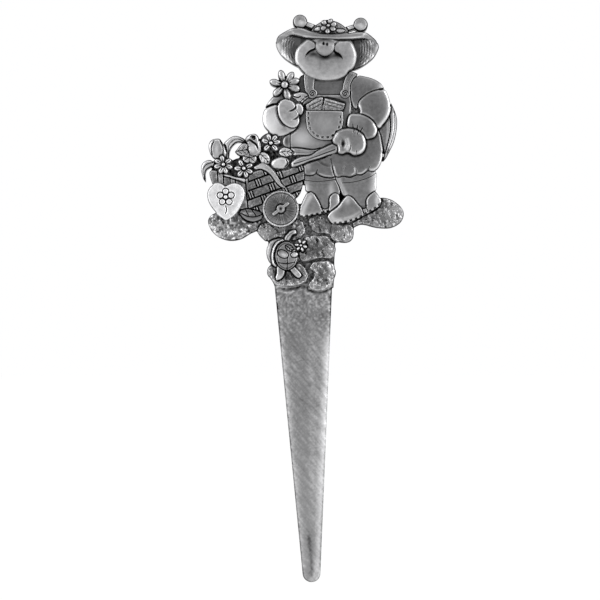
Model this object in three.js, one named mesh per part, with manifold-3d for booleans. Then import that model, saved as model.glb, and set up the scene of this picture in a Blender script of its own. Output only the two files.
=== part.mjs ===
// A cast pewter plant stake: a relief of an insect gardener with a flower cart, above a tapered blade.
// Millimetres, +Z up. The flat back lies on the plane y = 0 and the relief rises towards -Y.
// The origin is on the back, where the blade meets the soil.
import * as THREE from "three";
import Module from "manifold-3d";

const wasm = await Module();
wasm.setup();

// Plate and blade
const PLATE_THICKNESS = 2;
const BLADE_LENGTH = 93.5;
const BLADE_TOP_WIDTH = 19.4;
const BLADE_TIP_WIDTH = 6;
const BLADE_TOP_LEAN = -0.9;
const BLADE_TIP_LEAN = 1.85;
const BLADE_SHOULDER = 6.5;

// How pieces fit and how their edges turn
const CLEARANCE = 0.3;
const INLAY_DEPTH = 0.6;
const DOME_RISE = 1.2;
const FLAT_BEVEL = 0.45;
const THIN_BEVEL = 0.15;
const OUTLINE_STEP = 1.4;
const SMALLEST_STEP = 0.01;
const ROUND_SIDES = 24;
const PETAL_SIDES = 8;

// Heights of the relief above the plate
const STONE_HEIGHT = 1.8;
const WING_HEIGHT = 2.2;
const SHIRT_HEIGHT = 1.6;
const TROUSER_HEIGHT = 2.6;
const HIP_HEIGHT = 3;
const SHOE_HEIGHT = 3.4;
const BIB_HEIGHT = 3;
const POCKET_HEIGHT = 3.5;
const PACKET_HEIGHT = 3.2;
const STRAP_HEIGHT = 2.5;
const BUTTON_HEIGHT = 3.2;
const SLEEVE_HEIGHT = 3;
const ARM_HEIGHT = 3.6;
const CUFF_HEIGHT = 4.1;
const FIST_HEIGHT = 4.6;
const BRIM_HEIGHT = 1.7;
const ROLL_HEIGHT = 4.5;
const HAT_CROWN_HEIGHT = 3.4;
const HAT_FLOWER_HEIGHT = 4.4;
const FEELER_HEIGHT = 3.6;
const STALK_HEIGHT = 2.6;
const HEAD_HEIGHT = 4.4;
const NOSE_HEIGHT = 5.2;
const BASKET_HEIGHT = 2.8;
const FOOT_HEIGHT = 2.6;
const WHEEL_HEIGHT = 3.6;
const HUB_HEIGHT = 4.4;
const HANDLE_HEIGHT = 3.8;
const FAR_HANDLE_HEIGHT = 3.4;
const HEART_HEIGHT = 4.1;
const LEAF_HEIGHT = 2.9;
const BUD_HEIGHT = 3.8;
const DAISY_HEIGHT = 3.6;
const DAISY_EYE_HEIGHT = 4.4;
const BUG_SHELL_HEIGHT = 2.7;
const BUG_BODY_HEIGHT = 3.2;
const BUG_FLOWER_HEIGHT = 3.4;

// Round pieces and flowers
const FEELER_BALL_RADIUS = 2.4;
const FEELER_STALK_RADIUS = 0.8;
const NOSE_RADIUS = 3;
const NOSE_ACROSS = 6.3;
const NOSE_BELOW_TOP = 3.6;
const HAT_FLOWER_ACROSS = 7.4;
const HAT_FLOWER_BELOW_TOP = 2.2;
const BUTTON_RADIUS = 1.5;
const WHEEL_RADIUS = 5.9;
const HUB_RADIUS = 1.2;
const PIN_LENGTH = 5.8;
const PIN_RADIUS = 0.4;
const HELD_DAISY_REACH = 5.2;
const HELD_PETAL_WIDTH = 2.5;
const HELD_EYE_RADIUS = 1.35;
const CART_DAISY_REACH = 3.2;
const CART_PETAL_WIDTH = 1.8;
const CART_EYE_RADIUS = 0.85;
const HAT_FLOWER_REACH = 2.6;
const HAT_PETAL_WIDTH = 1.7;
const HAT_EYE_RADIUS = 0.7;
const BUG_FLOWER_REACH = 2.2;
const BUG_PETAL_WIDTH = 1.15;
const BUG_EYE_RADIUS = 0.55;
const BUG_BODY_WIDTH = 7.6;
const BUG_BODY_LENGTH = 9.6;
const BUG_LIMB_RADIUS = 0.85;

// A dome's rings: how far in from the outline, as a scale, and how far up its rise.
const DOME_RINGS = [[1, 0], [0.84, 0.68], [0.5, 1]];
const PETAL_RINGS = [[1, 0], [0.55, 1]];
const TOP_OF_CUTS = 20;

const pewter = new THREE.MeshStandardMaterial({ color: 0x8f8f8f, roughness: 0.4, metalness: 1 });
const antiquedPewter = new THREE.MeshStandardMaterial({ color: 0x5e5e5e, roughness: 0.5, metalness: 1 });
const polishedPewter = new THREE.MeshStandardMaterial({ color: 0xb4b4b4, roughness: 0.3, metalness: 1 });

// Points along one run of an outline, without its last point. A run of two points is a straight edge.
function runPoints(points) {
  if (points.length === 2) return [points[0]];
  const curve = new THREE.SplineCurve(points);
  const steps = Math.max(1, Math.round(curve.getLength() / OUTLINE_STEP));
  return curve.getSpacedPoints(steps).slice(0, -1);
}

// A closed loop through hand-set points, smooth apart from points that carry a third value: those are corners.
function smoothLoop(points) {
  const corners = points.flatMap((point, index) => (point[2] ? [index] : []));
  const flat = points.map(([x, z]) => new THREE.Vector2(x, z));
  if (corners.length === 0) {
    const curve = new THREE.CatmullRomCurve3(flat.map(({ x, y }) => new THREE.Vector3(x, y, 0)), true);
    const steps = Math.max(8, Math.round(curve.getLength() / OUTLINE_STEP));
    return curve.getSpacedPoints(steps).slice(0, -1).map(({ x, y }) => new THREE.Vector2(x, y));
  }
  return corners.flatMap((start, index) => {
    const next = corners[(index + 1) % corners.length];
    const count = ((next - start + flat.length - 1) % flat.length) + 2;
    return runPoints(Array.from({ length: count }, (_, step) => flat[(start + step) % flat.length]));
  });
}

// A place on a mass: at this x, and this far below the highest point of the mass's outline.
function belowTop(outline, x, drop) {
  return [x, Math.max(...outline.map(([, z]) => z)) - drop];
}

function ovalLoop([x, z], [halfWidth, halfHeight], degrees = 0, sides = ROUND_SIDES) {
  const turn = THREE.MathUtils.degToRad(degrees);
  return new THREE.EllipseCurve(x, z, halfWidth, halfHeight, 0, 2 * Math.PI, false, turn)
    .getPoints(sides)
    .slice(0, -1);
}

// A bar with round ends between two points.
function barLoop(from, to, radius) {
  const start = new THREE.Vector2(...from);
  const end = new THREE.Vector2(...to);
  const heading = end.clone().sub(start).angle();
  const cap = (centre, angle) =>
    new THREE.EllipseCurve(centre.x, centre.y, radius, radius, angle - Math.PI / 2, angle + Math.PI / 2)
      .getPoints(PETAL_SIDES / 2);
  return [...cap(end, heading), ...cap(start, heading + Math.PI)];
}

// Loops run counter-clockwise as seen from the front.
function counterClockwise(loop) {
  return THREE.ShapeUtils.area(loop) < 0 ? [...loop].reverse() : loop;
}

// The loop moved out by a distance, or in by a negative one.
function grownLoop(loop, distance) {
  return loop.map((point, index) => {
    const before = loop[(index + loop.length - 1) % loop.length];
    const after = loop[(index + 1) % loop.length];
    const way = after.clone().sub(before).normalize();
    return new THREE.Vector2(point.x + way.y * distance, point.y - way.x * distance);
  });
}

function scaledLoop(loop, scale) {
  const middle = loop.reduce((sum, point) => sum.add(point), new THREE.Vector2()).divideScalar(loop.length);
  return loop.map((point) => point.clone().sub(middle).multiplyScalar(scale).add(middle));
}

// A closed solid through rings of equal count, each at a height above the plate.
function loft(rings) {
  const count = rings[0].loop.length;
  const vertices = rings.flatMap(({ loop, height }) =>
    loop.flatMap(({ x, y }) => [x, -(PLATE_THICKNESS + height), y]));
  const caps = [rings[0], rings.at(-1)].map(({ loop }) => THREE.ShapeUtils.triangulateShape(loop, []));
  const lastRing = (rings.length - 1) * count;
  const triangles = [
    ...caps[0].flatMap(([a, b, c]) => [c, b, a]),
    ...caps[1].flatMap(([a, b, c]) => [lastRing + a, lastRing + b, lastRing + c]),
  ];
  for (let ring = 0; ring < rings.length - 1; ring += 1) {
    for (let step = 0; step < count; step += 1) {
      const low = ring * count + step;
      const lowNext = ring * count + ((step + 1) % count);
      triangles.push(low, lowNext, lowNext + count, low, lowNext + count, low + count);
    }
  }
  return new wasm.Manifold(new wasm.Mesh({
    numProp: 3,
    vertProperties: new Float32Array(vertices),
    triVerts: new Uint32Array(triangles),
  }));
}

function prism(loop, low, high) {
  return loft([{ loop, height: low }, { loop, height: high }]);
}

// One mass of a piece: a loop with the height of its crown. A dome swells all over, a slab is flat with a bevel.
function dome(loop, height, rings = DOME_RINGS) {
  const round = counterClockwise(loop);
  const crown = rings.map(([scale, up]) => ({
    loop: scaledLoop(round, scale),
    height: height - DOME_RISE * (1 - up),
  }));
  return { loop: round, crown };
}

function slab(loop, height, bevel = FLAT_BEVEL) {
  const edge = counterClockwise(loop);
  const crown = [{ loop: edge, height: height - bevel }, { loop: grownLoop(edge, -bevel), height }];
  return { loop: edge, crown };
}

function massSolid({ loop, crown }, seat) {
  return loft([{ loop, height: seat }, ...crown]);
}

// The floor of a pocket for what is let into a dome or a slab of this height.
function domePocket(height) {
  return height - DOME_RISE - INLAY_DEPTH;
}

function slabPocket(height) {
  return height - FLAT_BEVEL - INLAY_DEPTH;
}

function joined(solids) {
  return solids.reduce((sum, solid) => sum.add(solid));
}

// A piece of the relief: its masses joined, standing on the plate or on the floor of a pocket.
function piece(name, masses, { seat = 0, material = pewter } = {}) {
  return { name, masses, seat, material };
}

function pieceCutter({ masses, seat }) {
  return joined(masses.map(({ loop }) => prism(grownLoop(loop, CLEARANCE), seat, TOP_OF_CUTS)));
}

// Petals at hand-set angles round an eye. Each petal starts inside the eye, so that the flower is one body.
function flower(centre, angles, reach, width, eyeRadius, height, eyeHeight) {
  const inner = eyeRadius / 2;
  const petals = angles.map((degrees) => {
    const turn = THREE.MathUtils.degToRad(degrees);
    const distance = (reach + inner) / 2;
    const middle = [centre[0] + distance * Math.cos(turn), centre[1] + distance * Math.sin(turn)];
    return dome(ovalLoop(middle, [(reach - inner) / 2, width / 2], degrees, PETAL_SIDES), height, PETAL_RINGS);
  });
  return [...petals, dome(ovalLoop(centre, [eyeRadius, eyeRadius], 0, PETAL_SIDES), eyeHeight, PETAL_RINGS)];
}

// Path stones
const STONES = {
  stone_left: [[-31, 29.7], [-32.2, 28.7], [-32.7, 27.2], [-32.3, 25.5], [-31.3, 23.8], [-29.7, 22.3],
    [-27.7, 21.3], [-25.7, 20.8], [-23.3, 20.9], [-21.3, 21.5], [-18.3, 23.3], [-16.5, 24], [-16, 25.7],
    [-14.9, 27.3], [-18, 28.5], [-25, 31]],
  stone_under_wheel: [[-16.2, 23.7], [-15.3, 22.3], [-13, 20.5], [-11.7, 21.2], [-9.7, 21.7], [-7.7, 21.8],
    [-4.7, 21], [-2.7, 21.3], [-0.9, 22.5], [-0.3, 24.3], [-0.8, 26.3], [-1.8, 27.7], [-6, 27.5], [-12, 27],
    [-14.3, 26.8], [-15.7, 25.3]],
  stone_under_left_shoe: [[1.3, 28], [1.2, 26.7], [1.8, 25], [3, 23.8], [4.7, 23.5], [6.7, 23.3], [7.8, 22.9],
    [7.9, 24.5], [8.3, 26], [7.6, 27.7], [7, 29.5], [4.7, 29.5], [2, 28.7]],
  stone_under_right_shoe: [[8.9, 26.2], [10.7, 26.2], [13.3, 26.2], [14.8, 25.8], [15.8, 24.3], [15.9, 23],
    [15.5, 21.3], [14, 20.2], [11.7, 20.2], [10, 20.5], [8.7, 21.7], [8.2, 22.7], [8.4, 24.4]],
  stone_right: [[24.5, 35.1], [26.7, 35], [28.7, 34.4], [30.3, 33.3], [31.7, 32], [32.6, 30.3], [32.5, 28.7],
    [31.7, 27], [30, 25.7], [28, 25], [25.7, 24.9], [23, 25.2], [20.7, 25.8], [18.7, 26.2], [17, 25.7],
    [16.2, 25], [15.6, 26.3], [17.3, 28], [20, 29.3], [22.7, 30.7], [24.7, 32.2]],
  stone_middle: [[-0.3, 21.7], [0.7, 22.3], [2.7, 22.5], [5, 22.5], [7, 22.2], [8.2, 21.1], [9.3, 19.8],
    [9.9, 18.3], [9.7, 16.7], [8.7, 15.2], [7, 14.8], [4.7, 15], [2, 14.3], [-0.3, 14], [-2, 14.5], [-2, 18]],
  stone_low_right: [[1.3, 12], [2, 13], [3.3, 13.8], [5.3, 14.1], [7.3, 14], [8.5, 13.3], [9.5, 12], [10, 10.3],
    [9.7, 8.7], [9, 7.2], [8.3, 6], [7, 5], [5, 4.2], [3, 4.2], [1.5, 5], [1.1, 6.2], [1.8, 7.5], [2.7, 8.5],
    [2.8, 9.5], [2, 10.8]],
  stone_low_left: [[-11.8, 12.8], [-12.7, 11.7], [-13, 10.2], [-12.5, 8.7], [-11.3, 7.7], [-10.3, 6.3],
    [-8.3, 5.7], [-6, 5.6], [-3.7, 5.8], [-1.3, 6.4], [0, 7.3], [0.7, 8.7], [0.4, 10.3], [-0.7, 12],
    [-2.3, 13], [-7, 13.5]],
};

function pathPieces() {
  return Object.entries(STONES).map(([name, points]) =>
    piece(name, [dome(smoothLoop(points), STONE_HEIGHT)], { material: antiquedPewter }));
}

// The gardener's wing case, clothes below the head, and legs
const WING_CASE = [[28.3, 66.7], [29.3, 64.7], [30.2, 62.3], [30.4, 59.7], [30, 56.3], [29.2, 53.3], [28, 50.7],
  [26.7, 48.3], [25.8, 47.2, 1], [26, 50.3], [25.7, 52.3], [25, 55], [24.3, 57.3], [25, 58.8], [27, 61.2],
  [27.8, 63]];
const SHIRT = [[-2.2, 75.2], [0, 76.5], [6, 77], [13.5, 76.8], [15, 74], [14.9, 68], [12, 66.5], [3, 66.5],
  [0.2, 68.5], [-1.8, 70.2]];
const TROUSER_LEFT = [[-0.3, 43], [-0.3, 38.7], [0.2, 36.7], [1, 37.2], [2.7, 36.2], [4, 34.2], [5.3, 31.7],
  [6, 31], [7.3, 31.3], [9, 32.7], [11.2, 36.7], [10.8, 39], [10, 41.5], [9, 43.5]];
const TROUSER_RIGHT = [[9.9, 42.5], [11.2, 38.8], [12.7, 35.7], [14.2, 35.8], [15.7, 34.8], [17.3, 32.8],
  [19.2, 31.5], [20, 31], [20.7, 35.3], [21.8, 36.5], [23.3, 37.2], [23.4, 40], [23.3, 43.7], [20, 45], [12, 44]];
const THIGH_LEFT = [[-0.8, 45.7], [1.7, 46.8], [4.7, 47.8], [8.3, 49], [8.5, 46.7], [9, 44.7], [9.8, 42.2],
  [7.7, 41.9], [5.7, 42.2], [4.2, 42.8], [3.5, 43.3], [2.3, 42.7], [0.7, 42.6], [-0.4, 42.9]];
const HIP_RIGHT = [[24.1, 57.3], [24.8, 55], [25.3, 52.3], [25.6, 50], [25.3, 47.5], [24.5, 45.5], [23.2, 44.2],
  [21.8, 43.9], [20.6, 44.3], [19.8, 43.7], [18.5, 42.9], [17.2, 42.8], [16.7, 43.2], [15.7, 42.3], [14, 42],
  [12.7, 42.5], [11.3, 42.2], [10, 42], [9.3, 43.7], [8.7, 46.7], [8.5, 49.2], [11, 51], [18, 52.5], [21, 55]];
const BIB = [[1, 68.3], [3, 69.3], [7, 69.3], [11.3, 69.3], [14.7, 69], [15, 65], [14.7, 62.7], [13.8, 60.7],
  [13.7, 58.3], [12.3, 56.7], [9.3, 53.3], [6.3, 51.8], [4, 51.1], [1.7, 50.9], [-0.7, 51.3], [-3.3, 51.6],
  [-7.2, 52.2], [-7.6, 54.5], [-6.5, 55.8], [-4.8, 56.3], [-2.3, 59], [-2, 61.7], [-1, 63.7], [-0.7, 67.3]];
const POCKET = [[0, 63.9, 1], [12, 63.7, 1], [12.3, 61.7], [12.2, 59.7], [11.5, 57.7], [10.3, 56], [8.7, 54.6],
  [7, 54.3], [5, 54.4], [3.3, 54.9], [2, 55.8], [0.8, 57.3], [0.3, 59], [0.1, 61]];
const PACKET_LEFT = [[0, 65.8, 1], [5.2, 68.4, 1], [5.8, 67.8, 1], [5.4, 64.2, 1], [0.5, 64.2, 1]];
const PACKET_RIGHT = [[6.4, 68.1, 1], [12.8, 66.3, 1], [12, 64.2, 1], [5, 64.2, 1]];
const STRAP_LEFT = [[-0.2, 76.5], [2.4, 76], [2.4, 71.3], [2.1, 69.5], [0.3, 69.9], [-0.4, 72.7]];
const STRAP_RIGHT = [[14.5, 77], [13.3, 75], [12.6, 73], [12.3, 71], [13, 69.6], [14.8, 70.7], [14.9, 72.3],
  [15.4, 73.7], [16.2, 74.8], [17.5, 75.9], [16, 76.8]];
const BUTTON_LEFT = [2.1, 69.7];
const BUTTON_RIGHT = [13, 69.7];
const SHOE_LEFT = [[0.2, 36.5], [1, 37], [2.3, 36.5], [3.3, 35.2], [4.3, 33.5], [5.2, 31.7], [5.8, 31], [7, 31.2],
  [7.8, 32], [7.8, 34.3], [8.3, 35.7], [9.3, 36.4], [10.5, 36.5], [11, 34.7], [11.2, 33.7], [10, 32.3],
  [8.3, 31], [6.5, 30], [3.3, 29.5], [1.3, 29.1], [-1, 28.8], [-2.2, 29.2], [-2, 31], [-1.8, 32.3], [-1, 34.3],
  [-0.3, 35.7]];
const SHOE_RIGHT = [[12.8, 34.8], [14, 35.7], [15, 35.3], [16.3, 34], [17.7, 32.3], [19, 31.2], [19.7, 30.9],
  [20.2, 32], [20.1, 33.7], [20.7, 35.2], [21.8, 36.3], [23.3, 37.2], [24, 36], [24.7, 34.7], [24.9, 33.7],
  [24.3, 32.3], [22.7, 31.2], [20.7, 30], [18.8, 29], [16.7, 27.9], [14.3, 27], [12.3, 26.7], [10, 26.5],
  [8.8, 26.5], [7.8, 27.7], [7.3, 28.8], [8, 30], [9.7, 31.2], [11.3, 32.8]];

function clothesPieces() {
  const shirtPocket = slabPocket(SHIRT_HEIGHT);
  const bibPocket = domePocket(BIB_HEIGHT);
  const strap = (outline) => slab(smoothLoop(outline), STRAP_HEIGHT);
  const button = (centre) => dome(ovalLoop(centre, [BUTTON_RADIUS, BUTTON_RADIUS]), BUTTON_HEIGHT);
  const packets = [PACKET_LEFT, PACKET_RIGHT].map((points) => slab(smoothLoop(points), PACKET_HEIGHT));
  return [
    piece("wing_case", [slab(smoothLoop(WING_CASE), WING_HEIGHT, THIN_BEVEL)], { material: antiquedPewter }),
    piece("shirt", [slab(smoothLoop(SHIRT), SHIRT_HEIGHT)]),
    piece("trouser_left", [dome(smoothLoop(TROUSER_LEFT), TROUSER_HEIGHT)]),
    piece("trouser_right", [dome(smoothLoop(TROUSER_RIGHT), TROUSER_HEIGHT)]),
    piece("thigh_left", [dome(smoothLoop(THIGH_LEFT), HIP_HEIGHT)]),
    piece("hip_right", [dome(smoothLoop(HIP_RIGHT), HIP_HEIGHT)]),
    piece("shoe_left", [slab(smoothLoop(SHOE_LEFT), SHOE_HEIGHT)]),
    piece("shoe_right", [slab(smoothLoop(SHOE_RIGHT), SHOE_HEIGHT)]),
    piece("bib", [dome(smoothLoop(BIB), BIB_HEIGHT)]),
    piece("strap_left", [strap(STRAP_LEFT), button(BUTTON_LEFT)], { seat: shirtPocket }),
    piece("strap_right", [strap(STRAP_RIGHT), button(BUTTON_RIGHT)], { seat: shirtPocket }),
    piece("seed_packets", packets, { seat: bibPocket }),
    piece("pocket", [slab(smoothLoop(POCKET), POCKET_HEIGHT)], { seat: bibPocket }),
  ];
}

// The cart
const BASKET = [[-32.2, 43.7], [-30, 44], [-28.3, 43], [-26, 42.5], [-23, 41.6], [-20, 41.4, 1], [-18.3, 42.9],
  [-16.3, 43.9], [-14.7, 44.2], [-12.7, 43.7], [-8.3, 44], [-5.7, 44.4], [-3.3, 45.6], [-1.2, 46.2, 1],
  [-0.8, 44], [-0.7, 41.7], [-1, 39.7], [-1.5, 37.7], [-2.3, 36], [-3.3, 35], [-8, 31], [-14, 30], [-16.7, 30.7],
  [-18.8, 31.3], [-22, 31.5], [-28, 34], [-31.2, 39.8], [-31.9, 42]];
const FOOT = [[-22, 30.2], [-21, 28.5], [-19.3, 27.5], [-17.3, 27.2], [-15.7, 27.7], [-14.3, 28.9], [-15.2, 30.3],
  [-17.5, 31], [-20.5, 31.3]];
const WHEEL_CENTRE = [-8.4, 31.3];
const PIN_ANGLE = 37;
const HEART = [[-26.9, 38.5, 1], [-28.3, 39.5], [-29.7, 39.8], [-31, 39.3], [-32, 38.3], [-32.7, 37],
  [-32.8, 35.5], [-32.5, 34], [-31.7, 32.3], [-30.3, 30.5], [-28.7, 29], [-26.7, 27.7, 1], [-25, 28.4],
  [-23.5, 29.7], [-22.2, 31.5], [-21.2, 33.5], [-20.6, 35.3], [-20.6, 37], [-21.2, 38.3], [-22.2, 39.2],
  [-23.7, 39.7], [-25.3, 39.3]];
const HANDLE_FAR = [[-5, 51.4], [-3.3, 51.5], [-1.3, 51.3], [0.7, 51], [2.7, 50.9], [4.3, 51.2], [5.7, 51.7],
  [5.3, 51.1], [4.3, 50.2], [3, 49.5], [1.3, 49.1], [-0.7, 49.2], [-2.7, 49.3], [-4.7, 49.4]];
const HANDLE_NEAR = [[10.3, 52.6], [9, 52.9], [6.3, 51.8], [4, 50.7], [1.3, 49], [-1, 48.7], [-3, 48],
  [-4.7, 46.7], [-5, 45.4], [-3.7, 45.4], [-1.2, 46.3], [1.3, 47.4], [4.7, 48.3], [8, 49.5], [10.3, 50.3],
  [10.8, 51.5]];

function cartPieces() {
  const onBasket = slabPocket(BASKET_HEIGHT);
  const pinTurn = THREE.MathUtils.degToRad(PIN_ANGLE);
  const pinEnd = (way) => [
    WHEEL_CENTRE[0] + (way * PIN_LENGTH * Math.cos(pinTurn)) / 2,
    WHEEL_CENTRE[1] + (way * PIN_LENGTH * Math.sin(pinTurn)) / 2,
  ];
  const hub = dome(ovalLoop(WHEEL_CENTRE, [HUB_RADIUS, HUB_RADIUS], 0, PETAL_SIDES), HUB_HEIGHT);
  const pin = slab(barLoop(pinEnd(-1), pinEnd(1), PIN_RADIUS), WHEEL_HEIGHT + PIN_RADIUS, THIN_BEVEL);
  return [
    piece("basket", [slab(smoothLoop(BASKET), BASKET_HEIGHT)], { material: antiquedPewter }),
    piece("basket_foot", [dome(smoothLoop(FOOT), FOOT_HEIGHT)], { material: antiquedPewter }),
    piece("wheel", [slab(ovalLoop(WHEEL_CENTRE, [WHEEL_RADIUS, WHEEL_RADIUS]), WHEEL_HEIGHT)],
      { seat: onBasket, material: antiquedPewter }),
    piece("wheel_hub", [hub, pin], { seat: slabPocket(WHEEL_HEIGHT) }),
    piece("heart_sign", [slab(smoothLoop(HEART), HEART_HEIGHT)], { seat: onBasket, material: polishedPewter }),
    piece("handle_far", [dome(smoothLoop(HANDLE_FAR), FAR_HANDLE_HEIGHT)]),
    piece("handle_near", [slab(smoothLoop(HANDLE_NEAR), HANDLE_HEIGHT)]),
  ];
}

// The arms
const SLEEVE_LEFT = [[-11.3, 68.5], [-12.5, 67], [-13.6, 65.3], [-12.7, 65.6], [-11, 66.2], [-9.3, 66.4],
  [-8.8, 67.2], [-7.5, 67.9], [-7, 69.5], [-9.5, 69.9]];
const FOREARM_LEFT = [[-13.7, 64.5], [-14.3, 63], [-14.5, 61.3], [-14.3, 59.7], [-13.5, 58.2], [-12.3, 56.9],
  [-10.8, 56], [-9.2, 55.6], [-7.3, 55.8], [-5.7, 56.5], [-4.3, 57.5], [-3, 58.6], [-5, 61], [-8, 65],
  [-9.3, 66.1], [-11.7, 65.6]];
const FIST_LEFT = [[-9.2, 66.3], [-9.3, 64.3], [-9.1, 62.7], [-8.5, 61.2], [-7.5, 59.8], [-6, 58.7], [-4.3, 58.2],
  [-3, 58.8], [-2.3, 60], [-2.4, 61.3], [-2.4, 62.5], [-2.7, 63.7], [-3.6, 64.4], [-3.6, 65.5], [-4, 66.5],
  [-5.2, 67.3], [-6.7, 67.7], [-8, 67.3]];
const THUMB_LEFT = [[-3.9, 65.3], [-2.8, 66.2], [-1.8, 66], [-1.1, 65], [-0.9, 64], [-1.5, 63], [-2.4, 62.4],
  [-3.4, 63.4]];
const SLEEVE_RIGHT = [[15, 70.3], [14.8, 71.7], [15.2, 73.3], [16, 74.7], [17.5, 75.7], [19.3, 75.5],
  [21.7, 74.9], [23.7, 74], [25, 73], [26, 71.5], [24, 71.2], [21.7, 70.5], [19.7, 69.4], [18.2, 68],
  [17.3, 66.5], [17, 65], [16.7, 64.3], [16, 65.3], [15.3, 67], [15, 68.7]];
const UPPER_ARM_RIGHT = [[26.2, 71], [27.2, 69.3], [27.9, 67.3], [28.1, 65.3], [27.8, 63.3], [26.9, 61.3],
  [25.5, 59.5], [24, 58.1], [23, 59.7], [21.7, 61], [20, 62], [18, 62.8], [18.1, 64.2], [17.4, 65.7],
  [17.5, 66.5], [18.3, 67.8], [20, 69.2], [22, 70.3], [24, 70.8]];
const CUFF_RIGHT = [[14.8, 62.7], [16.3, 62.8], [18, 62.7], [20, 62], [21.7, 60.9], [22.8, 59.5], [23.5, 58],
  [23.4, 56.5], [22.7, 55.3], [21.3, 54.8], [19.8, 54.7], [19, 56], [17, 57.5], [15.3, 58.1], [14, 58.1],
  [13.8, 59.3], [13.9, 60.8], [14.3, 62]];
const FIST_RIGHT = [[14, 58.1], [12.3, 57.8], [10.7, 57.2], [9.5, 55.8], [8.8, 54], [9, 53.2], [10.3, 52.7],
  [10.8, 51.5], [10.5, 50.3], [11.3, 49.7], [12.8, 49.7], [14, 50.4], [15, 49.5], [15.8, 49.2], [17.3, 49.3],
  [18.5, 49.8], [19.5, 51], [19.9, 52.7], [19.7, 54.3], [19.2, 55.7], [18, 56.8], [16.7, 57.6], [15.3, 58]];

function armPieces() {
  return [
    piece("sleeve_left", [dome(smoothLoop(SLEEVE_LEFT), SLEEVE_HEIGHT)]),
    piece("forearm_left", [dome(smoothLoop(FOREARM_LEFT), ARM_HEIGHT)]),
    piece("fist_left", [
      dome(smoothLoop(FIST_LEFT), FIST_HEIGHT),
      dome(smoothLoop(THUMB_LEFT), ARM_HEIGHT),
    ]),
    piece("sleeve_right", [slab(smoothLoop(SLEEVE_RIGHT), SLEEVE_HEIGHT)]),
    piece("upper_arm_right", [slab(smoothLoop(UPPER_ARM_RIGHT), ARM_HEIGHT)]),
    piece("cuff_right", [dome(smoothLoop(CUFF_RIGHT), CUFF_HEIGHT)]),
    piece("fist_right", [dome(smoothLoop(FIST_RIGHT), FIST_HEIGHT)]),
  ];
}

// Head and hat
const HAT_BRIM = [[-10, 87], [-9.9, 85.7], [-9.3, 84.3], [-8.3, 82.8], [-7, 81.5], [-5.3, 80.3], [-3.7, 79.3],
  [0, 77.8], [7, 77], [12, 76.9], [15, 77.4], [16.3, 77.8], [18, 78.5], [19.7, 79.5], [21.3, 80.7], [22.7, 82],
  [24, 84.3], [24.3, 85.3], [23.9, 86.5], [20, 88.6], [7, 88.6], [-6, 89.2]];
const HEAD = [[-1, 86.7], [-2.3, 85.5], [-3.2, 84.2], [-3.6, 82.7], [-3.6, 81], [-3, 79.3], [-2, 78],
  [-0.7, 76.5], [1, 75.3], [3, 74.6], [5.3, 74.1], [8, 74.1], [10.3, 74.4], [12.3, 75.2], [14, 76.5],
  [15, 77.7], [16, 79], [16.6, 80.7], [16.8, 82.3], [16.5, 84], [15.8, 85.7], [15, 87.2], [12, 88.8], [2, 88.8]];
const NOSE_CENTRE = belowTop(HEAD, NOSE_ACROSS, NOSE_BELOW_TOP);
const FEELER_LEFT = { ball: [-2, 93.7], root: [3, 91.8] };
const FEELER_RIGHT = { ball: [18.2, 92.7], root: [12.8, 91] };
const HAT_CROWN = [[1.8, 90.3], [3.2, 92.5], [4.7, 93.5], [6.3, 94.2], [8, 94.4], [9.7, 93.9], [11.3, 93.2],
  [12.8, 92.1], [14.3, 90.4], [13.5, 88.4], [7, 88], [2.5, 88.6]];
const HAT_ROLL = [[-9.9, 86.4, 1], [-9.7, 88.2], [-8.7, 89.3], [-7, 90.3], [-5.3, 91.1], [-4, 91.5],
  [-2.3, 91.3], [-0.7, 91], [1.3, 90.2], [3.3, 89.7], [5.3, 89.3], [8, 89.2], [11.3, 89.3], [14.7, 89.8],
  [16.3, 90.1], [18, 90.1], [19.7, 90], [21.3, 89.2], [23.2, 87.6], [24, 86, 1], [22.9, 86.8], [21.7, 87.7],
  [20, 88.2], [18, 88.1], [14.7, 87.8], [11.3, 87.7], [8, 87.7], [4.7, 87.8], [1.3, 88.1], [-0.3, 88.4],
  [-2, 88.8], [-3.7, 89.2], [-5.3, 89.3], [-6.7, 88.8], [-8.2, 87.7]];
const HAT_FLOWER = belowTop(HAT_CROWN, HAT_FLOWER_ACROSS, HAT_FLOWER_BELOW_TOP);
const HAT_PETALS = [143, 58, 12, -30, -98, -150];

function headPieces() {
  const feeler = ({ ball, root }) => [
    dome(ovalLoop(ball, [FEELER_BALL_RADIUS, FEELER_BALL_RADIUS]), FEELER_HEIGHT),
    dome(barLoop(ball, root, FEELER_STALK_RADIUS), STALK_HEIGHT),
  ];
  const hatFlower = flower(HAT_FLOWER, HAT_PETALS, HAT_FLOWER_REACH, HAT_PETAL_WIDTH, HAT_EYE_RADIUS,
    HAT_FLOWER_HEIGHT, HAT_FLOWER_HEIGHT);
  return [
    piece("hat_brim", [slab(smoothLoop(HAT_BRIM), BRIM_HEIGHT)], { material: antiquedPewter }),
    piece("head", [dome(smoothLoop(HEAD), HEAD_HEIGHT)], { seat: slabPocket(BRIM_HEIGHT) }),
    piece("nose", [dome(ovalLoop(NOSE_CENTRE, [NOSE_RADIUS, NOSE_RADIUS]), NOSE_HEIGHT)],
      { seat: domePocket(HEAD_HEIGHT) }),
    piece("feeler_left", feeler(FEELER_LEFT)),
    piece("feeler_right", feeler(FEELER_RIGHT)),
    piece("hat_crown", [dome(smoothLoop(HAT_CROWN), HAT_CROWN_HEIGHT)]),
    piece("hat_roll", [slab(smoothLoop(HAT_ROLL), ROLL_HEIGHT, THIN_BEVEL)]),
    piece("hat_flower", hatFlower, { seat: domePocket(HAT_CROWN_HEIGHT) }),
  ];
}

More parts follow.
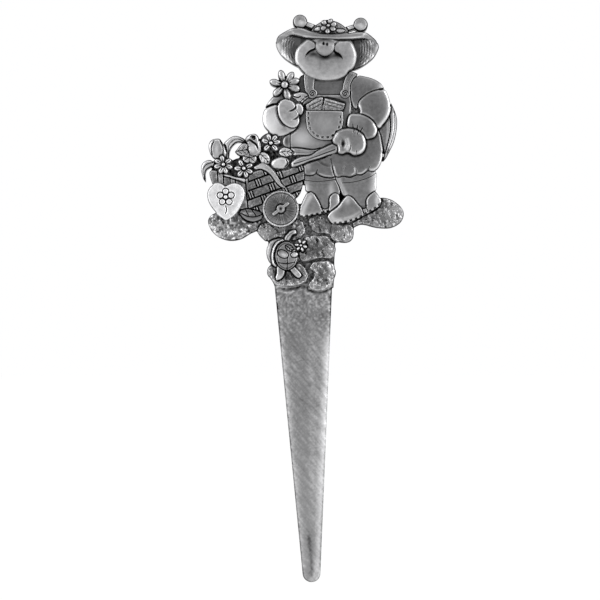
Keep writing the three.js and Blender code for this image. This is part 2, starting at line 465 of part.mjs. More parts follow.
// Flowers and leaves, in the cart and in the gardener's fist
const DROOPING_LEAF = [[-30.9, 47.4], [-32.7, 47.6], [-34, 47], [-34.8, 46], [-35, 44.7], [-34.7, 43],
  [-34.2, 41.3], [-33.5, 40.2, 1], [-33.5, 42], [-33.6, 43.4], [-33.2, 44.3], [-32, 45.2], [-30.7, 46]];
const LEAF_RIGHT = [[-9, 50.2], [-8.3, 51.3], [-7, 51.7], [-5.3, 51.2], [-4, 49.9, 1], [-4.7, 49.3], [-6.3, 48.9],
  [-7.7, 48.9]];
const ARCHED_LEAF = [[-27.3, 53.2], [-26.3, 54.3], [-25, 55.3], [-23.7, 55.7], [-22.3, 55.5], [-21, 54.9],
  [-20.1, 54.1], [-20.3, 53.2], [-21.7, 53.5], [-22.7, 53.6], [-23.7, 53.1], [-24.7, 52.1], [-25.3, 51],
  [-25.7, 49.3], [-25.5, 48.3], [-26.4, 48.3], [-26.5, 51], [-27.1, 52.4]];
const ROSE_LEAF = [[-23.7, 50.3, 1], [-22.7, 51.5], [-21.7, 52.8], [-20.7, 53.3], [-19, 52.9], [-18.8, 51],
  [-19.5, 49.3], [-21.7, 48.8], [-22.7, 49.3]];
const ROSE_SEPALS = [[-21, 47.7], [-20.7, 48.8], [-19.7, 49.7], [-18, 50], [-16.8, 49.3], [-16.6, 47.6],
  [-17.3, 46.7], [-19, 46.5], [-20.3, 47]];
const ROSEBUD = [[-20.2, 54.6], [-19.7, 55.5], [-18.7, 56], [-17.7, 56.3], [-16.7, 56.2], [-15.8, 55.2],
  [-15.6, 54], [-15.2, 52.3], [-15.2, 51], [-15.7, 49.5], [-16.7, 48.9], [-18.3, 48.9], [-19.2, 50],
  [-19.6, 51.3], [-19.6, 52.5], [-20.1, 53.6]];
const TULIP_BUD = [[-30.8, 48.2], [-31.8, 49.5], [-32.3, 51], [-32.4, 52.5], [-32, 53.7], [-31.2, 54.4],
  [-30, 54.7], [-28.7, 54.6], [-28, 53.7], [-27.2, 52.5], [-26.7, 51], [-26.5, 49.7], [-27, 48.5], [-28.3, 48],
  [-29.7, 47.8]];
const EGG_BUD = [[-11.6, 46.3], [-11, 47.5], [-9.7, 48.2], [-8, 48.5], [-6.3, 47.9], [-5.5, 47], [-6.3, 45.6],
  [-7.3, 44.8], [-9, 44.7], [-10.7, 45.1]];
const RIBBON_LEAF = [[-17.5, 45], [-16.3, 46], [-14.7, 46.7], [-13, 46.2], [-11.3, 44.8], [-10, 43.3],
  [-9, 41.7], [-8.2, 40], [-6.8, 38.3, 1], [-8.3, 38.5], [-9.7, 39.7], [-10.8, 41.2], [-12, 42.8], [-13.7, 44],
  [-15.3, 44.6], [-17, 44.5]];
const LEAF_CENTRE = [[-15.7, 49], [-15.2, 49.9], [-14, 50.1], [-12.7, 49.3], [-12.2, 48.2], [-12.2, 46.9],
  [-13.7, 46], [-14.8, 47]];
const HELD_LEAF = [[-4.5, 68.7], [-4.2, 69.4], [-3, 70], [-1.3, 70.1], [0.3, 69.7], [1.2, 69.1], [0.7, 68.5],
  [-0.3, 67.7], [-1.2, 66.9], [-2.2, 66.6], [-2.7, 67], [-3.3, 67.8], [-4.2, 68.1]];
const HELD_DAISY = { centre: [-7.1, 72.6], petals: [166, 107, 56, 21, -17, -76, -137] };
const CART_DAISIES = {
  daisy_left: { centre: [-27.5, 46.1], petals: [102, 35, 151, 196, 248, 290, 340] },
  daisy_front: { centre: [-20.7, 44.8], petals: [119, 27, 180, -26, -71, -127] },
  daisy_back: { centre: [-11.7, 53.2], petals: [108, 53, 9, -49, -134, 162] },
};

function flowerPieces() {
  const leaf = (points) => slab(smoothLoop(points), LEAF_HEIGHT, THIN_BEVEL);
  const bud = (points) => dome(smoothLoop(points), BUD_HEIGHT);
  const heldDaisy = flower(HELD_DAISY.centre, HELD_DAISY.petals, HELD_DAISY_REACH, HELD_PETAL_WIDTH,
    HELD_EYE_RADIUS, DAISY_HEIGHT, DAISY_EYE_HEIGHT);
  const daisies = Object.entries(CART_DAISIES).map(([name, { centre, petals }]) =>
    piece(name, flower(centre, petals, CART_DAISY_REACH, CART_PETAL_WIDTH, CART_EYE_RADIUS,
      DAISY_HEIGHT, DAISY_EYE_HEIGHT)));
  return [
    piece("drooping_leaf", [leaf(DROOPING_LEAF)]),
    piece("leaf_right", [leaf(LEAF_RIGHT)], { material: antiquedPewter }),
    piece("arched_leaf", [leaf(ARCHED_LEAF)]),
    piece("rosebud", [leaf(ROSE_LEAF), leaf(ROSE_SEPALS), bud(ROSEBUD)]),
    piece("tulip_bud", [bud(TULIP_BUD)]),
    piece("egg_bud", [bud(EGG_BUD)]),
    piece("ribbon_leaf", [leaf(LEAF_CENTRE), leaf(RIBBON_LEAF)]),
    ...daisies,
    piece("held_leaf", [leaf(HELD_LEAF)]),
    piece("held_daisy", heldDaisy),
  ];
}

// The little bug on the path
const BUG_SHELL = [[-10, 21.2], [-11.7, 20.5], [-12.8, 19], [-13.2, 17], [-12.9, 15], [-12, 13.3], [-10.3, 12.3],
  [-8.5, 12], [-6.5, 15], [-6.5, 19.5], [-7.7, 21.2]];
const BUG_CENTRE = [-6.5, 15.7];
const BUG_FOOT_LEFT = [[-9.4, 12.5], [-7.3, 12], [-7.3, 9.7], [-8, 8.5], [-9.2, 7.7], [-10.3, 7.8], [-9.7, 9.3]];
const BUG_FOOT_RIGHT = { from: [-5.5, 12.5], to: [-2.5, 9.3] };
const BUG_FEELER = [[-7.3, 20.9], [-7, 22], [-6, 23.2], [-4.8, 24.3], [-3.7, 24.4], [-3.1, 23.7], [-3.4, 22.8],
  [-4.3, 22.9], [-5, 22.2], [-5.6, 20.7]];
const BUG_FLOWER = { centre: [-1.7, 19.2], petals: [107, 47, -17, -72, -131, 174] };

function bugPieces() {
  const body = dome(ovalLoop(BUG_CENTRE, [BUG_BODY_WIDTH / 2, BUG_BODY_LENGTH / 2]), BUG_BODY_HEIGHT);
  const leftFoot = dome(smoothLoop(BUG_FOOT_LEFT), BUG_SHELL_HEIGHT);
  const rightFoot = dome(barLoop(BUG_FOOT_RIGHT.from, BUG_FOOT_RIGHT.to, BUG_LIMB_RADIUS), BUG_SHELL_HEIGHT);
  const bugFlower = flower(BUG_FLOWER.centre, BUG_FLOWER.petals, BUG_FLOWER_REACH, BUG_PETAL_WIDTH,
    BUG_EYE_RADIUS, BUG_FLOWER_HEIGHT, BUG_FLOWER_HEIGHT);
  return [
    piece("bug_feeler", [dome(smoothLoop(BUG_FEELER), BUG_SHELL_HEIGHT)]),
    piece("bug_shell", [dome(smoothLoop(BUG_SHELL), BUG_SHELL_HEIGHT)], { material: antiquedPewter }),
    piece("bug_body", [body, leftFoot, rightFoot]),
    piece("bug_flower", bugFlower),
  ];
}

// The plate behind everything: the blade, the footprint of each piece, and the beds seen between them.
const PATH_BED = [[-16.8, 24.5], [-16.5, 28], [-15.2, 30.4], [-8, 30], [-3, 33.2], [-1.6, 33.2], [-1, 29.6],
  [7, 30.3], [16, 27.5], [16, 24.6], [15.4, 21.5], [9.8, 20], [9.6, 16], [9.6, 10], [9.2, 5], [-10.3, 5.2],
  [-12.6, 9.5], [-11.8, 13], [-12.9, 17], [-12.6, 20.4], [-15, 22.4]];
const FLOWER_BED = [[-31, 47.2], [-28, 51.5], [-26.9, 51.8], [-26.2, 49.4], [-25.7, 48.8], [-25.5, 48.2],
  [-24.7, 47.8], [-23.3, 48.3], [-20, 49.2], [-16, 50], [-15.6, 54.6], [-12.5, 57], [-8, 56.5], [-4, 54],
  [-1, 48], [-1, 43.5], [-14, 42], [-20, 40], [-32, 43]];
const CHEST_BED = [[-4.5, 73.5], [-1.5, 75.4], [1, 76], [3, 62], [0, 55], [-5, 54], [-8, 56.2], [-8, 61],
  [-9, 68], [-8.5, 70]];
const BODY_BED = [[-3, 53], [2, 60], [2, 75], [13, 76], [24, 72], [27.5, 66], [28.4, 61], [27, 55], [25, 48],
  [22.9, 43.5], [22.9, 37.5], [25.2, 32.7], [23.2, 30.2], [17.5, 26.8], [8, 27], [5, 30], [4, 33], [1, 37],
  [0, 39.3], [-0.9, 39.5], [-1, 45.5], [-5, 46.5]];
const HEART_BED = [[-24, 34], [-17, 34], [-17, 29], [-23, 29.5]];
const HAT_BED = [[-3.2, 90.9], [-3, 92.5], [1.5, 93], [5, 92], [4, 89], [0.5, 90]];

function bladeLoop() {
  const tipRadius = BLADE_TIP_WIDTH / 2;
  const tip = new THREE.Vector2(BLADE_TIP_LEAN, tipRadius - BLADE_LENGTH);
  const shoulder = [-1, 1].map((side) =>
    new THREE.Vector2(BLADE_TOP_LEAN + (side * BLADE_TOP_WIDTH) / 2, BLADE_SHOULDER));
  const round = new THREE.EllipseCurve(tip.x, tip.y, tipRadius, tipRadius, Math.PI, 2 * Math.PI)
    .getPoints(PETAL_SIDES);
  return [shoulder[0], ...round, shoulder[1]];
}

function stakePlate(pieces) {
  const footprints = pieces.flatMap(({ masses }) => masses.map(({ loop }) => loop));
  const beds = [PATH_BED, FLOWER_BED, CHEST_BED, BODY_BED, HEART_BED, HAT_BED]
    .map((points) => points.map(([x, z]) => new THREE.Vector2(x, z)));
  const loops = [bladeLoop(), ...beds, ...footprints];
  return joined(loops.map((loop) => prism(counterClockwise(loop), -PLATE_THICKNESS, 0)));
}

// A mesh whose own origin is at the middle of its outline, at the back plane. Faces in one plane become one.
function meshOf(name, solid, material) {
  const { vertProperties, triVerts } = solid.asOriginal().simplify(SMALLEST_STEP).getMesh();
  const geometry = new THREE.BufferGeometry();
  geometry.setAttribute("position", new THREE.BufferAttribute(vertProperties, 3));
  geometry.setIndex(new THREE.BufferAttribute(triVerts, 1));
  geometry.computeBoundingBox();
  const middle = geometry.boundingBox.getCenter(new THREE.Vector3()).round().setY(0);
  geometry.translate(-middle.x, 0, -middle.z);
  geometry.computeVertexNormals();
  const mesh = new THREE.Mesh(geometry, material);
  mesh.name = name;
  mesh.position.copy(middle);
  return mesh;
}

// Slivers that two neighbours pinch off a piece are not cast: its largest body is the piece.
function largestBody(solid) {
  return solid.decompose().reduce((best, body) => (body.volume() > best.volume() ? body : best));
}

// Pieces are listed from the back of the relief to the front. Each one is cut clear of all that lie over it.
const layers = [...pathPieces(), ...clothesPieces(), ...cartPieces(), ...armPieces(), ...headPieces(),
  ...bugPieces(), ...flowerPieces()];
const cutters = layers.map(pieceCutter);

function clearOfNeighbours(index) {
  const { masses, seat } = layers[index];
  const whole = joined(masses.map((mass) => massSolid(mass, seat)));
  return largestBody(cutters.slice(index + 1).reduce((rest, cutter) => rest.subtract(cutter), whole));
}

const stake = new THREE.Group();
stake.name = "garden_stake";
stake.add(meshOf("stake_plate", stakePlate(layers), pewter));
layers.forEach(({ name, material }, index) => stake.add(meshOf(name, clearOfNeighbours(index), material)));

export default stake;
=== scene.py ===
"""Looks for a cast pewter plant stake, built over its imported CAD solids.

Every solid of the relief is sculpted again as a fine height field inside the solid's own outline, with the
creases, stitches, petals and hammer marks of the casting. Lengths are in millimetres until a mesh is made.
Heights are measured from the flat back towards the viewer, who stands on the -Y side.
"""

from dataclasses import dataclass
from functools import reduce

import bpy
import numpy as np
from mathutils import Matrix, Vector


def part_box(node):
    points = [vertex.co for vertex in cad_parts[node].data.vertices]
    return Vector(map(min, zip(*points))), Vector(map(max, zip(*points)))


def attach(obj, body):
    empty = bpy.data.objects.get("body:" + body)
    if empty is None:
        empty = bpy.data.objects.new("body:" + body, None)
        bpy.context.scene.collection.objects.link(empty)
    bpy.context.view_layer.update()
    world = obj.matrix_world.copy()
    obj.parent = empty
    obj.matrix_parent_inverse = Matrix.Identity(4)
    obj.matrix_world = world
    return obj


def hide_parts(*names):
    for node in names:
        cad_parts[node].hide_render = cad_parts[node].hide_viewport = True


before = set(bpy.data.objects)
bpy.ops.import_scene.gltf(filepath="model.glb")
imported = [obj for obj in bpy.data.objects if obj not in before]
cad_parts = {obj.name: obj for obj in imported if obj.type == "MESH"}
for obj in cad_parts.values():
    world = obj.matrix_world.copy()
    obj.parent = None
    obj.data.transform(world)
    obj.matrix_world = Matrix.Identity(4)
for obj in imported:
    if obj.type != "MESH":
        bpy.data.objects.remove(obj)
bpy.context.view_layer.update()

# Grids and outlines
MM = 0.001
TINY = 1e-9
GRID = 0.1
PLATE_GRID = 0.32
GRID_MARGIN = 2
BAND = 3.0
OUTLINE_STEPS = 4
CORNER_TURN = 80
NOTCH_TURN = 50
STRAIGHT_RUN = 6.0
SMALLEST_AREA = 0.1
SEAT_TOLERANCE = 0.01
LOWEST_WALL = 0.1
LEAST_SLOPE = 0.25
RELIEF_MARGIN = 2
EDGE_SOFTENING = 0.12
FILM_SWEEPS = 40
SMALLEST_FILM = 20
NOISE_CELLS = 256

# How far a piece grows beyond the outline of its solid, which closes the clearance between solids
GROWTH = 0.12
CLOSE_GROWTH = 0.2
JOINED_GROWTH = 0.3

# Shares and widths that the details have in common
FOLD_END = 0.03
DASH_STEEPNESS = 1.5
MERGE_STEEPNESS = 1.6
MASS_CREASE_WIDTH = 0.2
POCKET_SLOPE = 0.3
MIDRIB_WIDTH = 0.13
VEIN_WIDTH = 0.11
VEIN_DEPTH = 0.8
FINE_MARKS = 0.45
STRAW_STRANDS = 9
STRAW_BRIGHTNESS = 2

# Petals: how far their floor lies below their tops, how they swell, and the notch along the middle of each
PETAL_FLOOR = 2.2
PETAL_RISE = 1.2
PETAL_DIP = 0.5
PETAL_ROOT = 0.7
PETAL_TAPER = 0.4
PETAL_NOTCH_WIDTH = 0.13
PETAL_NOTCH_DEPTH = 0.5
EYE_RISE = 0.8
EYE_SHARE = 0.92

# Basket work: the lean of its slats, their rows, and the pairs of upright strands between them
BASKET_LEAN = 20.0
BASKET_LEFT = -19.6
BASKET_TOP_ROW = 44.5
SLAT_ROW = 2.87
SLAT_PERIOD = 7.5
SLAT_SHIFT = -1.2
STRAND_PAIR = 1.7
STRAND_RISE = 0.25
ROW_SEAM_WIDTH = 0.22
SLAT_END_WIDTH = 0.2
STRAND_SEAM_WIDTH = 0.16
SEAM_DEPTH = 0.75

# The plate and its blade
PLATE_THICKNESS = 2.0
PLATE_EDGE = 0.5
BACK_EDGE_SHARE = 0.8
BLADE_TOP = 6.0
BLADE_BLEND = 2.0
BLADE_EDGE = 3.5
BLADE_CROWN = 0.7
BLADE_MIDDLE = (0.3, -0.015)
SOIL_TIP = -93.5
HAMMERED_END = -16
HAMMERED_FADE = 18
# Painted highlights along the blade's two long edges, the right one brighter
HIGHLIGHT_TOP = 0.0
HIGHLIGHT_FADE = 20
RIGHT_HIGHLIGHT = 0.75
RIGHT_HIGHLIGHT_WIDTH = 2.6
LEFT_HIGHLIGHT = 0.3
LEFT_HIGHLIGHT_WIDTH = 1.9

# Patina and wear, with painted shade in the wider hollows
CUT_DARKNESS = 1.1
PLAIN_PATINA = 0.25
BRIGHT_SPOT_CLEARING = 0.4
CREASE_WIDTH = 0.2
CREASE_DARKNESS = 3.0
HOLLOW_WIDTH = 2.4
HOLLOW_START = 0.1
HOLLOW_SOFTENING = 0.6
HOLLOW_DARKNESS = 0.65
DARKEST_HOLLOW = 0.45
RIM_WIDTH = 0.6
RIM_DARKNESS = 0.9
BLADE_RIM_WIDTH = 0.8
BLADE_RIM_DARKNESS = 0.8

# Metal
CLOUD_SCALE = 700
CLOUD_FINENESS = 8
CLOUD_RANGE = (0.3, 0.7)
DARK_CLOUD = 0.7
BRIGHT_CLOUD = 1.3
GRAIN_SCALE = 4000
GRAIN_FINENESS = 4
GRAIN_STRENGTH = 0.25
GRAIN_HEIGHT = 0.06
NOISE_ROUGHNESS = 0.7
PATINA_AND_SHADE_LEVEL = 0.006
PATINA_AND_SHADE_RANGE = (0.1, 0.9)
PATINA_AND_SHADE_ROUGHNESS = 0.8
LOW_BLADE = -60
COOL_TINT = 1.01

# Studio and camera. A level of 1 is white.
FLOOR_SIZE = 3000.0
FLOOR_LEVEL = 0.85
FLOOR_ROUGHNESS = 0.9
FLOOR_GLOW = 1.03
FLOOR_WHITENESS = 0.92
FRONT_LEVEL = 0.6
WALL_LEVEL = 1.1
WALL_RANGE = (0.3, 0.85)
BEHIND_RANGE = (-0.1, 0.4)
PICTURE_WIDTH = 200.0
PICTURE_CENTRE = (-2.0, -4.0, 1.0)
CAMERA_LENS = 100.0
SENSOR_WIDTH = 36.0


def shifted(field, reach, axis):
    """A field moved along one axis by each number of steps within a reach, in order."""
    padding = [(reach, reach) if axis == side else (0, 0) for side in (0, 1)]
    padded = np.pad(field, padding, mode="edge")
    length = field.shape[axis]
    for start in range(2 * reach + 1):
        yield np.take(padded, range(start, start + length), axis)


def softened(field, sigma):
    """A Gaussian blur, with its spread given in grid steps."""
    reach = int(np.ceil(3 * sigma))
    weights = np.exp(-0.5 * (np.arange(-reach, reach + 1) / sigma) ** 2)
    weights /= weights.sum()
    for axis in (0, 1):
        field = sum(weight * part for weight, part in zip(weights, shifted(field, reach, axis)))
    return field


def highest(field, reach):
    """The highest value within a reach, in grid steps, along both axes."""
    for axis in (0, 1):
        field = reduce(np.maximum, shifted(field, reach, axis))
    return field


def ease(value):
    """A smooth step from 0 to 1."""
    value = np.clip(value, 0, 1)
    return value * value * (3 - 2 * value)


def bell(reach):
    """1 in the middle of a line, and next to nothing from twice its width outwards."""
    return np.exp(-(reach**2))


def shoulder(depth, edge):
    """A rounded edge: 0 at the rim, 1 from the edge radius inwards."""
    return np.sqrt(1 - (1 - np.clip(depth / edge, 0, 1)) ** 2)


def grain(x, z, size, seed):
    """Smooth seeded noise from -1 to 1, with spots of about one size."""
    values = np.random.default_rng(seed).uniform(-1, 1, (NOISE_CELLS, NOISE_CELLS))
    column = np.floor(x / size).astype(int)
    row = np.floor(z / size).astype(int)
    across = ease(x / size - column)
    up = ease(z / size - row)

    def value(right, above):
        return values[(row + above) % NOISE_CELLS, (column + right) % NOISE_CELLS]

    low = value(0, 0) * (1 - across) + value(1, 0) * across
    high = value(0, 1) * (1 - across) + value(1, 1) * across
    return low * (1 - up) + high * up


# Outlines
def seat_loops(node):
    """The outlines of the flat face that a CAD solid sits on, as lists of x and z."""
    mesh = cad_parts[node].data
    places = np.empty(len(mesh.vertices) * 3)
    mesh.vertices.foreach_get("co", places)
    corners = np.empty(len(mesh.loops), int)
    mesh.loops.foreach_get("vertex_index", corners)
    places, same = np.unique(np.round(places.reshape(-1, 3) / MM, 3) + 0.0, axis=0, return_inverse=True)
    triangles = same.reshape(-1)[corners].reshape(-1, 3)
    seated = places[:, 1] > places[:, 1].max() - SEAT_TOLERANCE
    flat = triangles[seated[triangles].all(axis=1)].tolist()
    edges = {edge for a, b, c in flat for edge in ((a, b), (b, c), (c, a))}
    rim = sorted((a, b) for a, b in edges if (b, a) not in edges)
    loops = [places[loop][:, [0, 2]] for loop in chained(rim)]
    return [loop for loop in loops if abs(area(loop)) > SMALLEST_AREA]


def chained(edges):
    """Closed loops of point numbers from directed edges. Two loops may share a point."""
    following = {}
    for start, end in edges:
        following.setdefault(start, []).append(end)
    loops = []
    for start in list(following):
        while following[start]:
            loop = [start]
            point = following[start].pop()
            while point != start:
                loop.append(point)
                point = following[point].pop()
            loops.append(loop)
    return loops


def area(loop):
    following = np.roll(loop, -1, axis=0)
    return 0.5 * np.sum(loop[:, 0] * following[:, 1] - following[:, 0] * loop[:, 1])


def unit(vectors):
    return vectors / np.maximum(np.linalg.norm(vectors, axis=-1, keepdims=True), TINY)


def spline(points, closed, corner=None):
    """A smooth line through points. At a corner it turns sharply, and a long run stays straight."""
    points = np.asarray(points, float)
    ends = np.roll(points, -1, axis=0)
    way = unit(ends - points)
    tangent = unit(way + np.roll(way, 1, axis=0))
    if not closed:
        tangent[0], tangent[-1] = way[0], way[-2]
    leaving, arriving = tangent.copy(), np.roll(tangent, -1, axis=0)
    if corner is not None:
        leaving[corner] = way[corner]
        meets = np.roll(corner, -1)
        arriving[meets] = way[meets]
    length = np.linalg.norm(ends - points, axis=1)[:, None]
    straight = length[:, 0] > STRAIGHT_RUN
    leaving[straight] = arriving[straight] = way[straight]
    pieces = []
    for step in np.arange(OUTLINE_STEPS) / OUTLINE_STEPS:
        first = (1 + 2 * step) * (1 - step) ** 2 * points + step * (1 - step) ** 2 * length * leaving
        second = step**2 * (3 - 2 * step) * ends + step**2 * (step - 1) * length * arriving
        pieces.append(first + second)
    line = np.stack(pieces, axis=1).reshape(-1, 2)
    return line if closed else np.vstack([line[:-OUTLINE_STEPS], points[-1:]])


def outline(node):
    """A CAD outline with its facets rounded off. Sharp corners stay, and so do the notches between petals."""
    loops = seat_loops(node)
    outward = np.sign(max((area(loop) for loop in loops), key=abs))
    result = []
    for loop in loops:
        way = unit(np.roll(loop, -1, axis=0) - loop)
        before = np.roll(way, 1, axis=0)
        sine = before[:, 0] * way[:, 1] - before[:, 1] * way[:, 0]
        turn = outward * np.degrees(np.arctan2(sine, (before * way).sum(axis=1)))
        result.append(spline(loop, True, (turn > CORNER_TURN) | (turn < -NOTCH_TURN)))
    return result


def segment_distance(start, end, x, z):
    """Distance to one straight stretch, and how far along it the nearest point lies, 0 to 1."""
    way = end - start
    reach = ((x - start[0]) * way[0] + (z - start[1]) * way[1]) / max(way @ way, TINY)
    reach = np.clip(reach, 0, 1)
    return np.hypot(x - start[0] - reach * way[0], z - start[1] - reach * way[1]), reach


def depth_inside(loops, x, z):
    """Distance to the nearest outline up to a band, positive inside, over a grid."""
    distance = np.full(x.shape, BAND)
    inside = np.zeros(x.shape, bool)
    columns, rows = x[0], z[:, 0]
    for loop in loops:
        for start, end in zip(loop, np.roll(loop, -1, axis=0)):
            low, high = np.minimum(start, end) - BAND, np.maximum(start, end) + BAND
            near = (
                slice(*rows.searchsorted([low[1], high[1]])),
                slice(*columns.searchsorted([low[0], high[0]])),
            )
            distance[near] = np.minimum(distance[near], segment_distance(start, end, x[near], z[near])[0])
            crossed = (rows > start[1]) != (rows > end[1])
            if crossed.any():
                slope = (end[0] - start[0]) / (end[1] - start[1])
                crossing = start[0] + (rows[crossed] - start[1]) * slope
                inside[crossed] ^= columns > crossing[:, None]
    return np.where(inside, distance, -distance)


def film(inside):
    """The swell of a film blown up over the inside of an outline: 0 at its rim, 1 at its highest point."""
    level = film_level(inside)
    return np.sqrt(level / max(level.max(), TINY))


def film_level(inside):
    """The film's height before it is scaled, worked out on coarse grids first."""
    if max(inside.shape) < SMALLEST_FILM:
        level = np.zeros(inside.shape)
    else:
        coarse = 4 * film_level(inside[::2, ::2])
        level = np.kron(coarse, np.ones((2, 2)))[: inside.shape[0], : inside.shape[1]]
    for _ in range(FILM_SWEEPS):
        padded = np.pad(level, 1)
        around = padded[:-2, 1:-1] + padded[2:, 1:-1] + padded[1:-1, :-2] + padded[1:-1, 2:]
        level = (around + 1) / 4 * inside
    return level


def swollen(depth, edge, flat):
    """A rounded top: a film where flat is 0, a level face with a rounded edge where flat is 1."""
    return (1 - flat) * film(depth > 0) + flat * shoulder(depth, edge)


class Sheet:
    """A grid over one outline: how deep each point lies inside it, and the height and tone of the relief."""

    def __init__(self, loops, step, growth=0.0, bounds=None):
        points = np.concatenate(loops)
        low = np.floor(points.min(axis=0) / step - GRID_MARGIN) * step
        high = points.max(axis=0) + (GRID_MARGIN + 1) * step
        self.step = step
        self.x, self.z = np.meshgrid(np.arange(low[0], high[0], step), np.arange(low[1], high[1], step))
        self.depth = softened(depth_inside(loops, self.x, self.z), EDGE_SOFTENING / step) + growth
        if bounds is not None:
            self.depth = np.minimum(self.depth, depth_inside(bounds, self.x, self.z))
        self.height = np.zeros(self.x.shape)
        self.tone = np.zeros(self.x.shape)

    def cut(self, depth):
        """Cuts into the surface and darkens it as deep as it cuts: patina in narrow grooves, painted shade
        where a cut spreads wide, as on the soft side of a fold. A negative depth raises it and rubs it
        bright.
        """
        self.height -= depth
        self.tone += CUT_DARKNESS * depth

    def away(self, centre):
        """Distance from a point."""
        return np.hypot(self.x - centre[0], self.z - centre[1])

    def turned(self, degrees, centre=(0.0, 0.0)):
        """How far each point lies along and across a line that leans by an angle through a point."""
        turn = np.radians(degrees)
        x, z = self.x - centre[0], self.z - centre[1]
        return x * np.cos(turn) + z * np.sin(turn), z * np.cos(turn) - x * np.sin(turn)

    def oval(self, centre, radii, degrees=0.0):
        """How far out each point lies in an oval: 0 at its middle, 1 at its rim."""
        along, across = self.turned(degrees, centre)
        wide, high = np.broadcast_to(radii, 2)
        return np.hypot(along / wide, across / high)

    def spot(self, centre, radii, degrees=0.0):
        """A soft oval spot: 1 in its middle, running out to nothing."""
        return np.exp(-2 * self.oval(centre, radii, degrees) ** 2)

    def line(self, points):
        """Distance from a smooth line, the side of it (1 is left), the way along it, and its whole length."""
        points = spline(points, False) if len(points) > 2 else np.asarray(points, float)
        distance = np.full(self.x.shape, np.inf)
        side, along = np.zeros(self.x.shape), np.zeros(self.x.shape)
        run = 0.0
        for start, end in zip(points, points[1:]):
            here, reach = segment_distance(start, end, self.x, self.z)
            way = end - start
            cross = way[0] * (self.z - start[1]) - way[1] * (self.x - start[0])
            nearer = here < distance
            distance = np.where(nearer, here, distance)
            side = np.where(nearer, np.sign(cross), side)
            along = np.where(nearer, run + reach * np.linalg.norm(way), along)
            run += np.linalg.norm(way)
        return distance, side, along, run


# Details of the relief
def detail(work):
    """Makes a detail from a function that works a sheet: it gets its sizes now and the sheet later."""

    def sized(*sizes, **named):
        return lambda sheet: work(sheet, *sizes, **named)

    return sized


@detail
def groove(sheet, points, width, depth):
    sheet.cut(depth * bell(sheet.line(points)[0] / width))


def ridge(points, width, height):
    return groove(points, width, -height)


@detail
def fold(sheet, points, depth, sharp, soft):
    """A crease with one reach on its left and one on its right, darkened along its wider side as painted
    shade. It fades out at both ends.
    """
    distance, side, along, run = sheet.line(points)
    reach = np.where(side > 0, sharp, soft)
    fade = np.sqrt(np.clip(np.sin(np.pi * np.clip(along / run, FOLD_END, 1 - FOLD_END)), 0, 1))
    sheet.cut(depth * fade * bell(distance / reach))


@detail
def stitches(sheet, points, pitch, width, depth):
    distance, _, along, _ = sheet.line(points)
    dash = ease(0.5 + DASH_STEEPNESS * np.cos(2 * np.pi * along / pitch))
    sheet.cut(depth * dash * bell(distance / width))


@detail
def swelling(sheet, centre, radii, rise, degrees=0.0):
    """A soft bump that runs out to nothing."""
    sheet.height += rise * sheet.spot(centre, radii, degrees)


def pit(centre, radius, depth):
    return swelling(centre, radius, -depth)


@detail
def tone(sheet, centre, radii, amount, degrees=0.0):
    """A soft spot painted dark, or bright by a negative amount. It serves for patina and wear, and also for
    painted shade and painted highlights.
    """
    sheet.tone += amount * sheet.spot(centre, radii, degrees)


@detail
def line_tone(sheet, points, width, amount):
    """A line painted dark, or bright by a negative amount. It serves for patina and wear, and also for
    painted shade and painted highlights.
    """
    sheet.tone += amount * bell(sheet.line(points)[0] / width)


@detail
def ring_tone(sheet, centre, radius, width, amount):
    """A circle painted dark as shade, or bright by a negative amount as a highlight."""
    sheet.tone += amount * bell((sheet.away(centre) - radius) / width)


@detail
def merged(sheet, centre, radii, level, degrees=0.0):
    """A soft spot brought to one level, where two pieces run into each other without a crease."""
    share = ease(MERGE_STEEPNESS - MERGE_STEEPNESS * sheet.oval(centre, radii, degrees))
    sheet.height += share * (level - sheet.height)


def everywhere(x, z):
    return 1.0


@detail
def mottled(sheet, size, amount, seed, keep=everywhere):
    """Irregular dark and bright flecks, where a keep function lets them through."""
    sheet.tone += amount * keep(sheet.x, sheet.z) * grain(sheet.x, sheet.z, size, seed)


@detail
def hammered(sheet, size, depth, seed, keep=everywhere):
    """Punched marks and finer ones between them, where a keep function lets them through."""
    coarse = grain(sheet.x * 1.25 + 0.3 * sheet.z, sheet.z * 0.8, size, seed)
    fine = grain(sheet.x, sheet.z, size * FINE_MARKS, seed + 1)
    marks = coarse * np.abs(coarse) * 1.5 + 0.5 * fine
    sheet.height += depth * keep(sheet.x, sheet.z) * marks


def streaks(sheet, degrees, width, length, seed):
    along, across = sheet.turned(degrees)
    return grain(along * width / length, across, width, seed)


@detail
def brushed(sheet, degrees, width, length, depth, seed):
    """Fine straight file marks that run one way."""
    sheet.height += depth * streaks(sheet, degrees, width, length, seed)


@detail
def scratched(sheet, degrees, width, length, amount, seed):
    """Scratches that show as dark and bright streaks."""
    sheet.tone += amount * streaks(sheet, degrees, width, length, seed)


@detail
def oval_crease(sheet, centre, radii, width, depth, degrees=0.0):
    distance = (sheet.oval(centre, radii, degrees) - 1) * np.min(radii)
    sheet.cut(depth * bell(distance / width))


@detail
def bead(sheet, centre, radii, top, rise, degrees=0.0):
    """A round or oval boss that stands up to a height, with a steep rim."""
    reach = sheet.oval(centre, radii, degrees)
    boss = top - rise + rise * np.sqrt(np.clip(1 - reach**2, 0, 1))
    sheet.height = np.where(reach < 1, np.maximum(sheet.height, boss), sheet.height)


def set_bead(centre, radii, top, rise, width, depth, degrees=0.0):
    """A bead with a crease round it."""
    return bead(centre, radii, top, rise, degrees), oval_crease(centre, radii, width, depth, degrees)


@detail
def ring(sheet, centre, radius, width, depth):
    """A crease along a circle."""
    sheet.cut(depth * bell((sheet.away(centre) - radius) / width))


